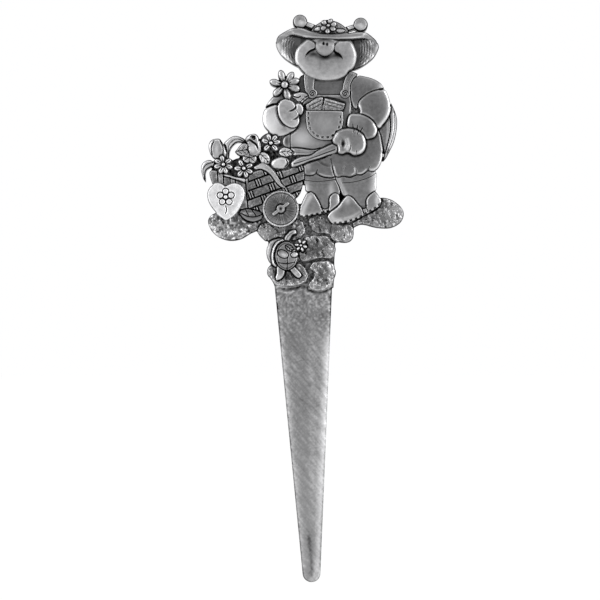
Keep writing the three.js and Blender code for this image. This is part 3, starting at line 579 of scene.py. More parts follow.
@detail
def mass(sheet, points, top, rise, edge, flat, crease):
    """A mass of its own inside a piece, set off by a crease."""
    depth = depth_inside([spline(points, True)], sheet.x, sheet.z)
    sheet.height -= crease * bell(depth / MASS_CREASE_WIDTH)
    swell = top - rise + rise * swollen(depth, edge, flat)
    sheet.height = np.where(depth > 0, np.maximum(sheet.height, swell), sheet.height)


@detail
def moat(sheet, node, width, depth):
    """A crease in a piece round another one that is let into it."""
    sheet.height -= depth * bell(depth_inside(outline(node), sheet.x, sheet.z) / width)


@detail
def pocket(sheet, node, drop):
    """Sinks a piece under another one that is let into it."""
    sheet.height -= drop * ease(depth_inside(outline(node), sheet.x, sheet.z) / POCKET_SLOPE)


@detail
def daisy(sheet, centre, petals, reach, width, eye, top, eye_top, notch):
    """Petals round an eye. Each is an oval that dips towards the eye, where a notch runs along its middle."""
    half, middle = reach / 2 - eye / 4, reach / 2 + eye / 4
    sheet.height[:] = top - PETAL_FLOOR
    for degrees in petals:
        along, across = sheet.turned(degrees, centre)
        taper = PETAL_ROOT + PETAL_TAPER * ease(along / reach)
        oval = np.hypot((along - middle) / half, across / (width / 2 * taper))
        petal = top - PETAL_RISE + PETAL_RISE * np.sqrt(np.clip(1.08 - oval**2, 0, 1))
        petal -= PETAL_DIP * (1 - ease(along / reach))
        notched = ease((notch + 0.15 - along / reach) / 0.3)
        petal -= PETAL_NOTCH_DEPTH * bell(across / PETAL_NOTCH_WIDTH) * notched
        sheet.height = np.where(oval < 1.04, np.maximum(sheet.height, petal), sheet.height)
    ring(centre, eye, 0.16, 0.6)(sheet)
    bead(centre, eye * EYE_SHARE, eye_top, EYE_RISE)(sheet)
    hammered(0.35, 0.05, 71)(sheet)


@detail
def veins(sheet, stem, spread, count, depth):
    """A leaf's midrib and its side veins, which lean forward along the stem."""
    start, end = np.asarray(stem[0], float), np.asarray(stem[-1], float)
    way = (end - start) / np.linalg.norm(end - start)
    across = np.array([-way[1], way[0]])
    groove(stem, MIDRIB_WIDTH, depth)(sheet)
    for share in (np.arange(count) + 0.6) / count:
        root = start + share * (end - start)
        for side in (-1, 1):
            groove([root, root + spread * (way + side * across)], VEIN_WIDTH, depth * VEIN_DEPTH)(sheet)


@detail
def spokes(sheet, centre, count, depth, seed):
    """Fine marks that fan out from a centre."""
    turn = np.arctan2(sheet.z - centre[1], sheet.x - centre[0]) / (2 * np.pi) * count
    sheet.height += depth * grain(turn, sheet.away(centre) / 2, 1.0, seed)


@detail
def arcs(sheet, centre, pitch, depth, keep):
    """Straw laid in rings round a centre."""
    plait = np.cos(2 * np.pi * sheet.away(centre) / pitch)
    turn = np.arctan2(sheet.z - centre[1], sheet.x - centre[0])
    strand = np.cos(2 * np.pi * turn * STRAW_STRANDS)
    straw = keep(sheet.x, sheet.z) * plait * (0.7 + 0.3 * strand)
    sheet.height += depth * straw
    sheet.tone -= depth * straw * STRAW_BRIGHTNESS


def weave(sheet):
    """Basket work: long flat slats with pairs of upright strands between them, set off from row to row."""
    along, up = sheet.turned(BASKET_LEAN)
    number = np.floor((BASKET_TOP_ROW - up) / SLAT_ROW)
    level = np.abs((BASKET_TOP_ROW - up) / SLAT_ROW - number - 0.5) * SLAT_ROW
    half = SLAT_PERIOD / 2
    place = (along - SLAT_SHIFT - (number % 2) * SLAT_PERIOD / 2 + half) % SLAT_PERIOD - half
    slat_end = np.abs(place) - STRAND_PAIR / 2
    row_seam = bell((SLAT_ROW / 2 - level) / ROW_SEAM_WIDTH)
    end_seam = bell(slat_end / SLAT_END_WIDTH)
    strand_seam = bell(place / STRAND_SEAM_WIDTH)
    side = ease((sheet.x - BASKET_LEFT) / 0.5)
    upright = ease(-slat_end / 0.15)
    slats = 0.12 * grain(along / 4, up, 0.3, 11) * (1 - upright)
    sheet.height += side * (slats + STRAND_RISE * upright)
    sheet.cut(SEAM_DEPTH * side * np.maximum(row_seam, np.maximum(end_seam, strand_seam)))


@detail
def dish(sheet, lip, drop):
    """A lip round the rim, with the inside sunk below it."""
    sheet.height -= drop * ease((sheet.depth - lip * 0.5) / (lip * 0.7))


# How each solid is sculpted
# Most tone, line_tone and ring_tone details in the forms below paint shade and highlights: the shading of
# round parts, shade under and between pieces, highlights on edges. The rest are patina and wear.
@dataclass
class Form:
    rise: float
    flat: float
    edge: float
    finish: str
    details: tuple
    growth: float


FORMS = {}


def form(node, rise, flat, edge, finish, *details, growth=GROWTH):
    """Adds one solid: its rise above its walls, how flat its top is, the width of its edge, its details."""
    FORMS[node] = Form(rise, flat, edge, finish, details, growth)


# The stones of the path
# The tone spots of the stones paint light and shade: brighter patches, most on the left stone, and shade
# under the left shoe and on the middle and low stones.
STONE_JOIN = merged((8.3, 24.5), (1.4, 3.2), 3.6)


def stone(node, seed, *spots, growth=GROWTH):
    form(node, 0.9, 0.85, 0.6, "stone", hammered(1.2, 0.36, seed), *spots, growth=growth)


stone(
    "stone_left", 21,
    tone((-30, 24.5), (3, 3.5), -0.3),
    tone((-24, 23), (4, 2), -0.25),
    mottled(0.7, 0.5, 29),
)
stone("stone_under_wheel", 22, tone((-13.5, 23.5), 2.5, -0.2))
stone("stone_under_left_shoe", 23, STONE_JOIN, tone((2.5, 24.3), (6, 3.2), 0.35), growth=JOINED_GROWTH)
stone("stone_under_right_shoe", 24, STONE_JOIN, tone((12.5, 22.5), (3, 2.5), -0.15), growth=JOINED_GROWTH)
stone("stone_right", 25, tone((29.5, 30), 3, -0.2))
stone("stone_middle", 26, tone((3, 17.5), (5.5, 5), 0.35), tone((8, 17), (1.5, 3), -0.2))
stone("stone_low_right", 27, tone((4.5, 9.5), 4, 0.2), tone((8.4, 11), (1.2, 3), -0.25))
stone("stone_low_left", 28, tone((-5, 9.5), (5, 4), 0.25))


# Clothes, wing case, legs and shoes
# The tone spots and lines of the clothes, shoes and wing case paint highlights along edges and on rounded
# parts, and shade in folds, above the seed packets and between the pieces.
HIP_JOIN = merged((8.6, 48.8), (2.2, 4.2), 4.7)
PACKET_TOPS = [(0, 64.4), (-0.4, 66), (5.2, 68.8), (6, 68.3), (6.9, 68.5), (13, 66.8), (12.5, 64)]
POCKET_STITCHES = [
    (0.8, 63.2), (0.9, 60), (1.4, 58), (2.6, 56.4), (4.2, 55.4), (6.5, 55.1), (8.3, 55.4), (9.7, 56.5),
    (10.8, 58), (11.4, 60), (11.4, 63),
]
SOLE_LEFT = [(-1.6, 28.8), (1.3, 29.1), (4.7, 29.8), (8, 30.8)]
SOLE_RIGHT = [(9.6, 26.6), (12.3, 26.8), (15.3, 27.6), (18, 28.7), (20, 29.9), (22.7, 31.4), (24.4, 32.8)]
BUTTON_LEFT = (2.1, 69.7)
BUTTON_RIGHT = (13, 69.7)
BUTTON_RADIUS = 1.5
SPIRAL_TURN = 3.2 * np.pi
SPIRAL_REACH = (1.1, 0.15)
SPIRAL_POINTS = 17


def button(centre):
    """A round button with a sunk spiral."""
    turns = np.linspace(0, SPIRAL_TURN, SPIRAL_POINTS)
    reach = np.linspace(*SPIRAL_REACH, SPIRAL_POINTS)
    spiral = np.stack([centre[0] + reach * np.cos(turns), centre[1] + reach * np.sin(turns)], axis=1)
    return bead(centre, BUTTON_RADIUS, 5.2, 0.9), groove(spiral, 0.13, 0.4)


form(
    "wing_case", 0.9, 0.6, 0.7, "pewter",
    groove([(27.7, 63), (28.2, 59.7), (28, 56.5), (27.2, 53), (26.4, 50)], 0.2, 0.5),
    groove([(29.3, 64), (29.6, 60), (29.2, 56.5), (28.2, 53), (27, 50)], 0.16, 0.35),
    line_tone([(25.4, 58), (26.2, 55.5), (26, 52.5)], 0.6, 0.3),
    line_tone([(27.2, 60.5), (27.2, 57), (26.7, 53.5)], 0.35, -0.5),
    line_tone([(29, 63), (29.3, 59.3), (28.8, 55.5), (27.8, 52)], 0.6, -0.75),
    brushed(80, 0.3, 8, 0.04, 61),
)
form(
    "shirt", 0.3, 0.9, 0.4, "pewter_dull",
    moat("strap_left", 0.15, 0.35),
    moat("strap_right", 0.15, 0.35),
    brushed(5, 0.3, 4, 0.02, 62),
    tone((7.5, 75), (8, 1.5), 0.2),
)
form(
    "trouser_left", 0.8, 0.5, 0.5, "pewter",
    groove([(-0.3, 40.9), (3, 40.5), (6, 40.6), (10, 41.2)], 0.14, 0.28),
    groove([(-0.3, 39.9), (3, 39.5), (6, 39.6), (10.2, 40.2)], 0.12, 0.05),
    tone((0.4, 38.2), (1.2, 3), -0.7),
    tone((8.4, 37.6), (1.3, 3.8), -0.55),
    tone((4.4, 36.5), (1.8, 4), 0.25),
    tone((6, 41.2), (6, 0.8), 0.2),
)
form(
    "trouser_right", 0.8, 0.5, 0.5, "pewter",
    groove([(12, 40), (15, 40.2), (18, 40.8), (21.3, 42), (23.2, 43.2)], 0.14, 0.28),
    groove([(12.2, 39.1), (15, 39.4), (18, 39.9), (21.3, 41.1), (23.2, 42.1)], 0.12, 0.05),
    line_tone([(23.3, 43), (23.4, 40.5), (23, 38)], 1.5, -0.9),
    line_tone([(11, 41.6), (12, 39), (13.4, 36.2)], 0.6, -0.5),
    tone((18.5, 37), (2.4, 3), 0.2),
    tone((17, 41.5), (6, 1), 0.2, 15),
)
form(
    "thigh_left", 0.9, 0.6, 0.8, "pewter_dull",
    HIP_JOIN,
    fold([(3.8, 47.6), (4.6, 46.8), (6.3, 45.8), (8.3, 45.3)], 0.35, 0.9, 0.2),
    groove([(3.4, 43.2), (3.8, 44.3)], 0.16, 0.35),
    tone((0.6, 45.4), (1.4, 1.6), -0.5),
    tone((2.4, 43.2), (1.2, 0.5), -0.4),
    line_tone([(4.6, 43.1), (6, 42.5), (8, 42.3)], 0.25, -0.35),
)
form(
    "hip_right", 0.9, 0.6, 0.9, "pewter_dull",
    HIP_JOIN,
    oval_crease((14.4, 44.2), (2, 2.2), 0.2, 0.12),
    line_tone([(15.4, 42.7), (16.3, 43.6), (16.2, 44.8)], 0.3, -0.6),
    groove([(16.7, 43), (17, 44.6)], 0.2, 0.25),
    line_tone([(17.4, 43.1), (18.8, 43.4), (20, 44.5)], 0.25, -0.6),
    groove([(20.6, 44.2), (21.2, 45.4)], 0.2, 0.25),
    line_tone([(21.6, 44.3), (23.4, 44.8), (24.6, 46.6), (25.2, 49.5)], 0.45, -0.6),
    line_tone([(9.4, 45.2), (9.8, 43.6), (10.3, 42.4)], 0.25, -0.5),
)
form(
    "shoe_left", 0.9, 0.6, 0.6, "pewter",
    groove([(4.9, 32), (5.6, 30.9), (6.3, 29.9)], 0.16, 0.5),
    groove([(7.7, 32.4), (7.4, 31.2), (7.5, 30.2)], 0.16, 0.4),
    stitches(SOLE_LEFT, 1.8, 0.4, 0.6),
    line_tone([(1.4, 35.4), (0, 33), (-1, 30.8), (-1.3, 29.6)], 0.8, -0.7),
    tone((3.6, 31.8), (1.6, 2.4), 0.3),
    tone((1.5, 31.8), (0.9, 2.6), 0.25, -20),
    tone((10.4, 34.2), (0.7, 1.8), -0.5),
    tone((8.6, 33.4), (0.7, 1.6), 0.2),
)
form(
    "shoe_right", 0.9, 0.6, 0.6, "pewter",
    groove([(18.6, 31.5), (19, 30.4), (19.3, 29.2)], 0.16, 0.5),
    groove([(20.1, 32.6), (20.3, 31.4), (20.6, 30.2)], 0.16, 0.4),
    stitches(SOLE_RIGHT, 1.8, 0.4, 0.6),
    line_tone([(11.2, 32.4), (8.8, 30.4), (8.5, 28.9), (9.5, 27.7), (11.5, 27.4)], 0.9, -0.6),
    tone((13.8, 34.2), (1.4, 1.8), -0.6),
    tone((12.2, 30.8), (1.6, 2.2), 0.3, -40),
    tone((16.6, 31.4), (1.6, 2.4), 0.35),
    line_tone([(13, 28.2), (15.6, 29), (17.6, 30.4)], 0.5, -0.4),
    tone((23.6, 34.2), (1, 2), -0.8),
    tone((21.2, 33.4), (0.8, 2), 0.2),
)
form(
    "bib", 0.9, 0.7, 0.8, "pewter_dull",
    moat("pocket", 0.15, 0.35),
    moat("seed_packets", 0.16, 0.5),
    moat("strap_left", 0.15, 0.4),
    moat("strap_right", 0.15, 0.4),
    swelling((-2, 54.8), (5, 3.6), 0.5),
    groove([(0.8, 68), (4, 68.4), (8, 68.3), (11.4, 67.8)], 0.14, 0.25),
    line_tone([(1.4, 68.9), (6, 69), (12, 68.9)], 0.25, -0.3),
    groove([(-5.2, 56.2), (-5.3, 54), (-5.2, 51.4)], 0.16, 0.5),
    line_tone(PACKET_TOPS, 0.45, 0.8),
    tone((-1.4, 55.2), (5.4, 4.4), -0.75),
    tone((4, 53), (5, 1.5), -0.2),
    tone((-6.4, 54), (1, 2.6), 0.7),
    tone((-1.6, 63), (1.6, 5), 0.12),
)
form(
    "strap_left", 0.4, 0.8, 0.3, "pewter_dull",
    groove([(0.3, 76), (0.4, 73), (0.7, 71.2)], 0.12, 0.2),
    *button(BUTTON_LEFT),
)
form(
    "strap_right", 0.4, 0.8, 0.3, "pewter_dull",
    groove([(15.6, 76.2), (14.3, 74.4), (13.4, 72.4), (13.2, 71.4)], 0.12, 0.2),
    *button(BUTTON_RIGHT),
)
form(
    "seed_packets", 0.4, 0.9, 0.35, "pewter",
    groove([(5.9, 68), (5.2, 64.2)], 0.25, 1.2),
    groove([(0.9, 65.4), (5, 67.4)], 0.14, 0.35),
    groove([(2, 64.6), (5, 66.2)], 0.14, 0.35),
    groove([(6.6, 67.2), (12.2, 65.6)], 0.14, 0.35),
    groove([(6.4, 66.2), (6.1, 64.2)], 0.14, 0.35),
    groove([(6.9, 66), (11.5, 64.7)], 0.14, 0.35),
    line_tone([(0.3, 65.9), (5.1, 68.2)], 0.2, -0.4),
    line_tone([(6.5, 67.8), (12.6, 66.1)], 0.2, -0.4),
    hammered(0.5, 0.08, 31),
    mottled(0.4, 0.4, 32),
    tone((2.8, 66), (2.4, 1.6), -0.3, 25),
    tone((9.2, 66), (3, 1.4), -0.3, -15),
)
form(
    "pocket", 0.35, 0.9, 0.45, "pewter",
    stitches(POCKET_STITCHES, 1.75, 0.2, 1.3),
    line_tone(POCKET_STITCHES, 0.8, -0.15),
    brushed(80, 0.25, 3, 0.015, 63),
    tone((6.3, 59.5), (7, 6), -0.3),
    line_tone([(0.3, 63.6), (6, 63.9), (12, 63.4)], 0.2, -0.3),
)


# The cart
# The tone spots and lines of the cart paint highlights on the basket, its foot and the wheel's rim, and light
# shade on the sign, the handles and round the hub.
WHEEL_CENTRE = (-8.4, 31.3)
SIGN_FLOWER = (-26.7, 35.2)
SIGN_PETALS = (90, 162, 234, 306, 18)
SIGN_PETAL_REACH = 1.9
BASKET_RIM = [(-26.5, 42.9), (-23, 41.9), (-20.2, 40.9)]
HEART_EDGE = [(-24, 39), (-22.2, 38.4), (-21.3, 36.6), (-22, 33.4), (-24, 30.2), (-26.4, 28.6)]


def sign_flower():
    """A small flower cut into the bare face of the sign."""
    x, z = SIGN_FLOWER
    cuts = [ring(SIGN_FLOWER, 0.8, 0.2, 0.5)]
    for degrees in SIGN_PETALS:
        turn = np.radians(degrees)
        petal = (x + SIGN_PETAL_REACH * np.cos(turn), z + SIGN_PETAL_REACH * np.sin(turn))
        cuts.append(ring(petal, 1.05, 0.2, 0.45))
    cuts.append(groove([(x, z - 3), (x + 0.3, z - 4.2), (x, z - 5.4)], 0.2, 0.5))
    return cuts


form(
    "basket", 0.5, 0.9, 0.5, "antiqued",
    weave,
    mottled(0.35, 0.3, 12),
    groove([(-20.2, 42), (-19.9, 37), (-19.3, 31.5)], 0.22, 0.6),
    ridge(BASKET_RIM, 0.4, 0.35),
    line_tone(BASKET_RIM, 0.5, -0.8),
    groove([(-27.5, 42.2), (-23.5, 41), (-20.4, 39.9)], 0.18, 0.5),
    groove([(-29.5, 43.5), (-29.3, 40.5)], 0.2, 0.6),
    groove([(-27.6, 43), (-27.4, 40)], 0.2, 0.6),
    groove([(-25.4, 41.8), (-25.2, 40)], 0.2, 0.5),
    groove([(-23.6, 41.2), (-23.4, 39.6)], 0.2, 0.5),
    tone((-28.5, 41.5), (1.4, 1.6), -0.6),
    tone((-24.5, 40.6), (1, 0.8), -0.4),
    line_tone([(-20.9, 40), (-20.7, 36), (-20, 32.5)], 0.4, -0.3),
    tone((-18.5, 33), (1.2, 2), -0.3),
)
form(
    "basket_foot", 0.9, 0.7, 0.6, "antiqued",
    groove([(-21.8, 30), (-19.5, 28.9), (-17, 28.7), (-14.6, 29.5)], 0.16, 0.5),
    groove([(-20.2, 31.2), (-19.2, 29.2)], 0.16, 0.4),
    groove([(-18, 31), (-16.6, 29)], 0.16, 0.4),
    tone((-20.6, 29.9), (0.9, 0.6), -0.6),
    tone((-18.4, 29.8), (1.2, 0.5), -0.6),
)
form(
    "wheel", 0.3, 0.95, 0.3, "antiqued",
    ring(WHEEL_CENTRE, 5.3, 0.14, 0.25),
    spokes(WHEEL_CENTRE, 110, 0.14, 3),
    ring(WHEEL_CENTRE, 1.6, 0.22, 0.35),
    ring_tone(WHEEL_CENTRE, 5.75, 0.2, -0.35),
    ring_tone(WHEEL_CENTRE, 3.4, 1.6, 0.25),
)
form(
    "wheel_hub", 0.5, 0.6, 0.35, "pewter",
    bead(WHEEL_CENTRE, 1.25, 6.3, 0.7),
    pit(WHEEL_CENTRE, 1.2, 0.6),
    tone(WHEEL_CENTRE, 0.8, 0.6),
    tone(WHEEL_CENTRE, 4, 0.12),
)
form(
    "heart_sign", 0.5, 0.85, 0.7, "polished",
    groove(HEART_EDGE, 0.18, 0.1),
    *sign_flower(),
    tone((-22.5, 37), (1.6, 2), 0.12),
    tone((-30.8, 32.6), (1.2, 2), 0.12),
)
form(
    "handle_far", 0.9, 0.5, 0.7, "pewter",
    groove([(-4.4, 50.2), (0, 50), (4.6, 50.7)], 0.2, 0.2),
    tone((-3, 50.3), (2, 1), 0.15),
)
form(
    "handle_near", 1, 0.5, 0.8, "pewter",
    groove([(-4, 46.3), (-0.3, 47.4), (4.7, 49.2), (9.6, 51)], 0.2, 0.35),
    tone((6, 50.3), (3.5, 0.8), 0.12, 22),
)


# The arms
# The tone spots and lines of the arms paint highlights on the forearm, the fists and the edges of sleeves and
# cuff, and shade beside the knuckles, in the fist's hollow and along the forearm's edge.
ARM_EDGE = [(26.3, 70.4), (27.2, 68.2), (27.5, 65.4), (26.9, 62.6), (25.4, 60.2), (24.2, 58.8)]
FIST_LEFT = [
    (-9.4, 66.3), (-9.5, 64.3), (-9.3, 62.7), (-8.7, 61), (-7.6, 59.5), (-6, 58.4), (-4.3, 58), (-2.8, 58.6),
    (-2.1, 60), (-2.2, 61.3), (-2.3, 62.5), (-2.9, 63.6), (-3.3, 64.4), (-3.5, 65.5), (-4, 66.6),
    (-5.2, 67.5), (-6.7, 67.9), (-8.2, 67.5),
]

form(
    "sleeve_left", 1, 0.4, 0.8, "pewter",
    tone((-12.4, 66.6), (1.2, 1), -0.35),
    tone((-8.5, 68.8), (2, 1), 0.3),
)
form(
    "forearm_left", 1.4, 0.3, 1, "pewter_bright",
    merged((-4.8, 58.2), (3.6, 1.6), 5.3, -12),
    tone((-11, 60.6), (4.6, 5.6), -1),
    tone((-7.5, 57.4), (3, 1.4), 0.12),
    line_tone([(-9.7, 65.4), (-9.6, 63.4), (-8.8, 61.2)], 0.4, 0.3),
)
form(
    "fist_left", 0.9, 0.5, 0.6, "pewter_bright",
    mass(FIST_LEFT, 6.3, 1.4, 0.9, 0.3, 0.3),
    fold([(-3.2, 65.8), (-3.6, 64.8), (-4.4, 64.1), (-5.9, 63.6)], 0.6, 0.4, 0.25),
    fold([(-2, 63.2), (-2.5, 62.2), (-3.3, 61.3), (-4.6, 60.7)], 0.5, 0.4, 0.25),
    tone((-1.4, 64), (1.2, 2.4), 0.3),
    tone((-6.8, 63), (1.4, 0.9), 0.25),
    tone((-6.8, 67.2), (2.4, 0.8), 0.3),
    tone((-3.9, 62.9), 0.7, -0.25),
    tone((-3.4, 59.9), 0.7, -0.3),
    tone((-4.6, 65.6), 0.8, -0.15),
)
form(
    "sleeve_right", 0.6, 0.85, 0.5, "pewter_dull",
    brushed(75, 0.25, 4, 0.02, 64),
    line_tone([(17.3, 65.6), (18.3, 67.7), (19.9, 69.3), (22, 70.4), (25.6, 71.4)], 0.25, -0.55),
    tone((25, 72.2), (1.4, 0.9), -0.7),
)
form(
    "upper_arm_right", 0.9, 0.7, 1, "pewter_dull",
    brushed(100, 0.25, 4, 0.02, 65),
    line_tone(ARM_EDGE, 0.55, -0.7),
    line_tone([(18.4, 63.2), (20.4, 62.6), (22.2, 61.3)], 0.3, -0.3),
    tone((18, 65.2), (0.5, 1), -0.8),
)
form(
    "cuff_right", 0.9, 0.6, 0.9, "pewter_dull",
    groove([(15.7, 58), (15.5, 59.4)], 0.14, 0.4),
    groove([(16.8, 57.5), (17.2, 59)], 0.14, 0.45),
    groove([(18, 56.9), (18.8, 58.2)], 0.14, 0.4),
    line_tone([(22.4, 59.2), (23, 57.6), (22.6, 56)], 0.4, -0.7),
    tone((17, 60.5), (3.5, 2), -0.12),
    line_tone([(14.3, 61.6), (14.2, 59.8)], 0.3, -0.3),
)
form(
    "fist_right", 1.5, 0.4, 1, "pewter",
    swelling((12.3, 52.9), (1.2, 2.4), -0.8),
    groove([(16, 57.9), (15.8, 56.6)], 0.14, 0.35),
    groove([(17.4, 57.2), (16.9, 55.9)], 0.14, 0.35),
    groove([(14.4, 50.4), (14.8, 51.4), (14.6, 52.6)], 0.25, 0.3),
    groove([(16.8, 49.4), (16.7, 50.6)], 0.2, 0.3),
    tone((12.3, 52.8), (1.1, 2), 0.7),
    line_tone([(13.9, 54.4), (14.2, 53), (13.7, 51.2)], 0.45, -0.8),
    tone((10.6, 51.6), (0.9, 1.4), -0.9),
    line_tone([(14.6, 50.3), (16, 49.9), (17.4, 50), (18.8, 51)], 0.3, -0.5),
    line_tone([(19, 55.2), (19.4, 53), (19, 51.2), (18, 50.2)], 0.35, -0.6),
    tone((16.6, 54.5), 2, 0.1),
    tone((10.3, 55.6), (1, 1.4), -0.4),
)


# Head and hat
# The tone spots and lines of the head and hat paint the shading of the feeler balls, the nose and the face,
# the shadow of the hat's roll, shade under the nose, along the smile and under the brim, and highlights on
# the brim's lip, the cheeks, the roll and the crown's leaves. The dark eyes are patina in their pits.
FEELER_LEFT = ((-2, 93.7), (3, 91.8))
FEELER_RIGHT = ((18.2, 92.7), (12.8, 91))
FEELER_BALL_RADIUS = 2.4


def feeler(node, ball, root):
    """A stalk with a ball at its end, the ball's shading and a highlight along the stalk painted on."""
    x, z = ball
    form(
        node, 1.2, 0.5, 0.6, "pewter",
        *set_bead(ball, FEELER_BALL_RADIUS, 5.5, 2.4, 0.15, 0.4),
        pit((x - 0.1, z + 0.5), 0.4, 0.12),
        tone((x - 0.1, z + 0.6), (0.6, 0.45), 0.6),
        ring_tone(ball, FEELER_BALL_RADIUS, 0.9, 0.35),
        tone((x - 0.3, z + 1.6), (2, 0.8), 0.2),
        tone((x + 0.3, z - 0.8), (1.5, 1.1), -0.6),
        line_tone([ball, root], 0.5, -0.4),
    )


def under_brim(x, z):
    """Where the straw of the brim's underside shows: on both sides of the head."""
    left = ease(-3.4 - x) * ease((x + 8.4) / 0.6)
    right = ease(x - 17.4) * ease((22.8 - x) / 0.6)
    return left + right


CHEEK_LEFT = [
    (-0.4, 81.9), (0.5, 83.1), (1.3, 83.8), (2.3, 84.2), (3.1, 84.7), (3.3, 85.6), (2.8, 86.6), (1.7, 87.3),
]
CHEEK_RIGHT = [
    (10.6, 86.7), (9.7, 85.9), (9.3, 84.8), (9.4, 84), (9.8, 83.4), (10.7, 82.9), (11.5, 82.2), (12.2, 81.3),
]
EYES = ((5.8, 86.1), (7, 85.8))
SMILE = [(0.4, 81.6), (2.4, 82.9), (4.2, 82.4), (6.3, 81.8), (8.4, 82.2), (10.2, 82.3), (12, 81)]
NOSE_BRIDGE = merged((6.3, 88.2), (5, 3.2), 6.2)
SHADE_OF_ROLL = tone((6.3, 87.7), (6, 1.5), 0.35)
UNDER_NOSE = [(3.2, 84.6), (3.7, 83.3), (4.8, 82.4), (6.3, 82), (7.8, 82.4), (8.9, 83.3), (9.4, 84.4)]

BRIM_ENDS = (
    merged((-8.3, 87.7), (5, 2.8), 4.3, 31),
    merged((22.6, 86.9), (4.6, 2.8), 4.3, -32),
)

form(
    "hat_brim", 0.3, 0.9, 0.4, "antiqued",
    dish(3, 0.3),
    *BRIM_ENDS,
    arcs((-0.5, 84.6), 0.85, 0.09, under_brim),
    arcs((15.5, 84.8), 0.9, 0.09, under_brim),
    line_tone([(-9.6, 86.8), (-9.2, 85), (-8.2, 83.3), (-6.4, 81.6), (-4.6, 80.2)], 0.8, -0.8),
    line_tone([(23.9, 86.2), (23.2, 83.7), (21.6, 81.5), (19.2, 79.5)], 0.5, -0.5),
    tone((-7.6, 84.4), (2, 3), -0.22),
    tone((20.8, 83.6), (1.6, 3), -0.1),
    line_tone([(-3.8, 86.5), (-4, 83), (-3.6, 80)], 1.4, 0.35),
    line_tone([(17, 86.5), (17.6, 83), (16.8, 79.5)], 1.6, 0.4),
    tone((18.5, 87.3), (2.5, 0.8), 0.3),
)
form(
    "head", 1.8, 0.35, 1.2, "pewter_bright",
    swelling((6.2, 81.6), (5, 1.8), -0.5),
    fold(CHEEK_LEFT, 0.65, 0.2, 0.5),
    fold(CHEEK_RIGHT, 0.65, 0.2, 0.5),
    groove(UNDER_NOSE, 0.2, 0.12),
    NOSE_BRIDGE,
    pocket("nose", 1.2),
    tone((6.2, 81.2), (6.4, 2.9), 0.4),
    tone((2.4, 82.6), (2.4, 1.5), 0.4),
    tone((10.4, 82.3), (2.4, 1.5), 0.4),
    line_tone(SMILE, 1.2, 0.3),
    line_tone([(14.6, 87), (16, 85), (16.5, 83), (16, 80.5), (14.8, 78.5)], 0.5, 0.3),
    line_tone([(-1.4, 86.2), (-2.6, 84.5), (-3.1, 82.5), (-2.6, 80.2)], 0.4, 0.2),
    SHADE_OF_ROLL,
    tone((0.6, 85.2), (1.6, 1.4), -0.25),
    tone((11.2, 84.6), (1.2, 1.6), -0.25),
)
form(
    "nose", 1.3, 0.3, 1.4, "pewter_bright",
    NOSE_BRIDGE,
    SHADE_OF_ROLL,
    tone((6.3, 84.8), (3.6, 3.2), 0.3),
    ring_tone((6.3, 85), 2.7, 0.8, 0.3),
    *(pit(eye, 0.4, 0.3) for eye in EYES),
    *(tone(eye, (0.42, 0.65), 2) for eye in EYES),
    growth=CLOSE_GROWTH,
)
feeler("feeler_left", *FEELER_LEFT)
feeler("feeler_right", *FEELER_RIGHT)
form(
    "hat_crown", 1.2, 0.4, 0.8, "pewter_dull",
    moat("hat_flower", 0.2, 0.6),
    hammered(0.5, 0.12, 41),
    tone((8, 92), (7, 3.5), 0.5),
    tone((3.8, 91.2), (1.6, 1), -0.9),
    tone((11.4, 90.6), (2, 0.9), -0.9),
    mass([(2.6, 90.8), (3.4, 91.8), (4.8, 91.9), (5, 91), (4, 90.3)], 5.2, 0.8, 0.4, 0.3, 0.4),
    mass([(9.9, 91), (11.4, 91.3), (13, 90.8), (12.6, 90), (10.4, 89.9)], 5.2, 0.8, 0.4, 0.3, 0.4),
)
form(
    "hat_roll", 1.2, 0.5, 0.7, "pewter_dull",
    *BRIM_ENDS,
    brushed(3, 0.3, 5, 0.03, 66),
    tone((-7.2, 89.2), (2.4, 1.4), -0.3),
    tone((21.4, 88.4), (2, 1), -0.2),
    line_tone([(-1, 88.6), (4, 88.2), (10, 88), (18, 88.3)], 0.25, -0.5),
    line_tone([(-4, 91), (1, 89.9), (8, 88.9), (16, 89.6)], 0.35, 0.2),
    tone((7, 89.4), (14, 2.4), 0.22),
    growth=CLOSE_GROWTH,
)
form(
    "hat_flower", 1.4, 0.4, 0.5, "pewter",
    daisy((7.4, 92.2), (143, 70, 12, -36, -98, -155), 3, 2, 0.6, 6.1, 6.4, 0.2),
    tone((7.4, 92.2), 3.6, 0.2),
)


# Flowers and leaves
# The tone spots and lines of the flowers and leaves paint highlights on their rounded parts and edges, and
# shade beside them and round the daisies' eyes.
ROSEBUD = [
    (-20, 54.6), (-19.6, 55.4), (-18.7, 55.9), (-17.7, 56.2), (-16.8, 56.1), (-15.9, 55.2), (-15.7, 54),
    (-15.3, 52.3), (-15.3, 51), (-15.8, 49.6), (-16.7, 49), (-18.2, 49), (-19.1, 50), (-19.5, 51.3),
    (-19.5, 52.5), (-19.9, 53.6),
]
ROSE_LEAF = [
    (-23.6, 50.3), (-22.6, 51.5), (-21.6, 52.8), (-20.6, 53.2), (-19.2, 52.6), (-19.6, 49.5), (-21.7, 48.9),
    (-22.7, 49.4),
]
RIBBON = [
    (-17.5, 45), (-16.3, 46), (-14.7, 46.7), (-13, 46.2), (-11.3, 44.8), (-10, 43.3), (-9, 41.7),
    (-8.2, 40), (-6.8, 38.3), (-8.3, 38.5), (-9.7, 39.7), (-10.8, 41.2), (-12, 42.8), (-13.7, 44),
    (-15.3, 44.6), (-17, 44.5),
]


def cart_daisy(node, centre, petals):
    form(node, 1.4, 0.4, 0.5, "pewter_bright", daisy(centre, petals, 3.2, 1.7, 0.7, 5.6, 5.9, 0.8))


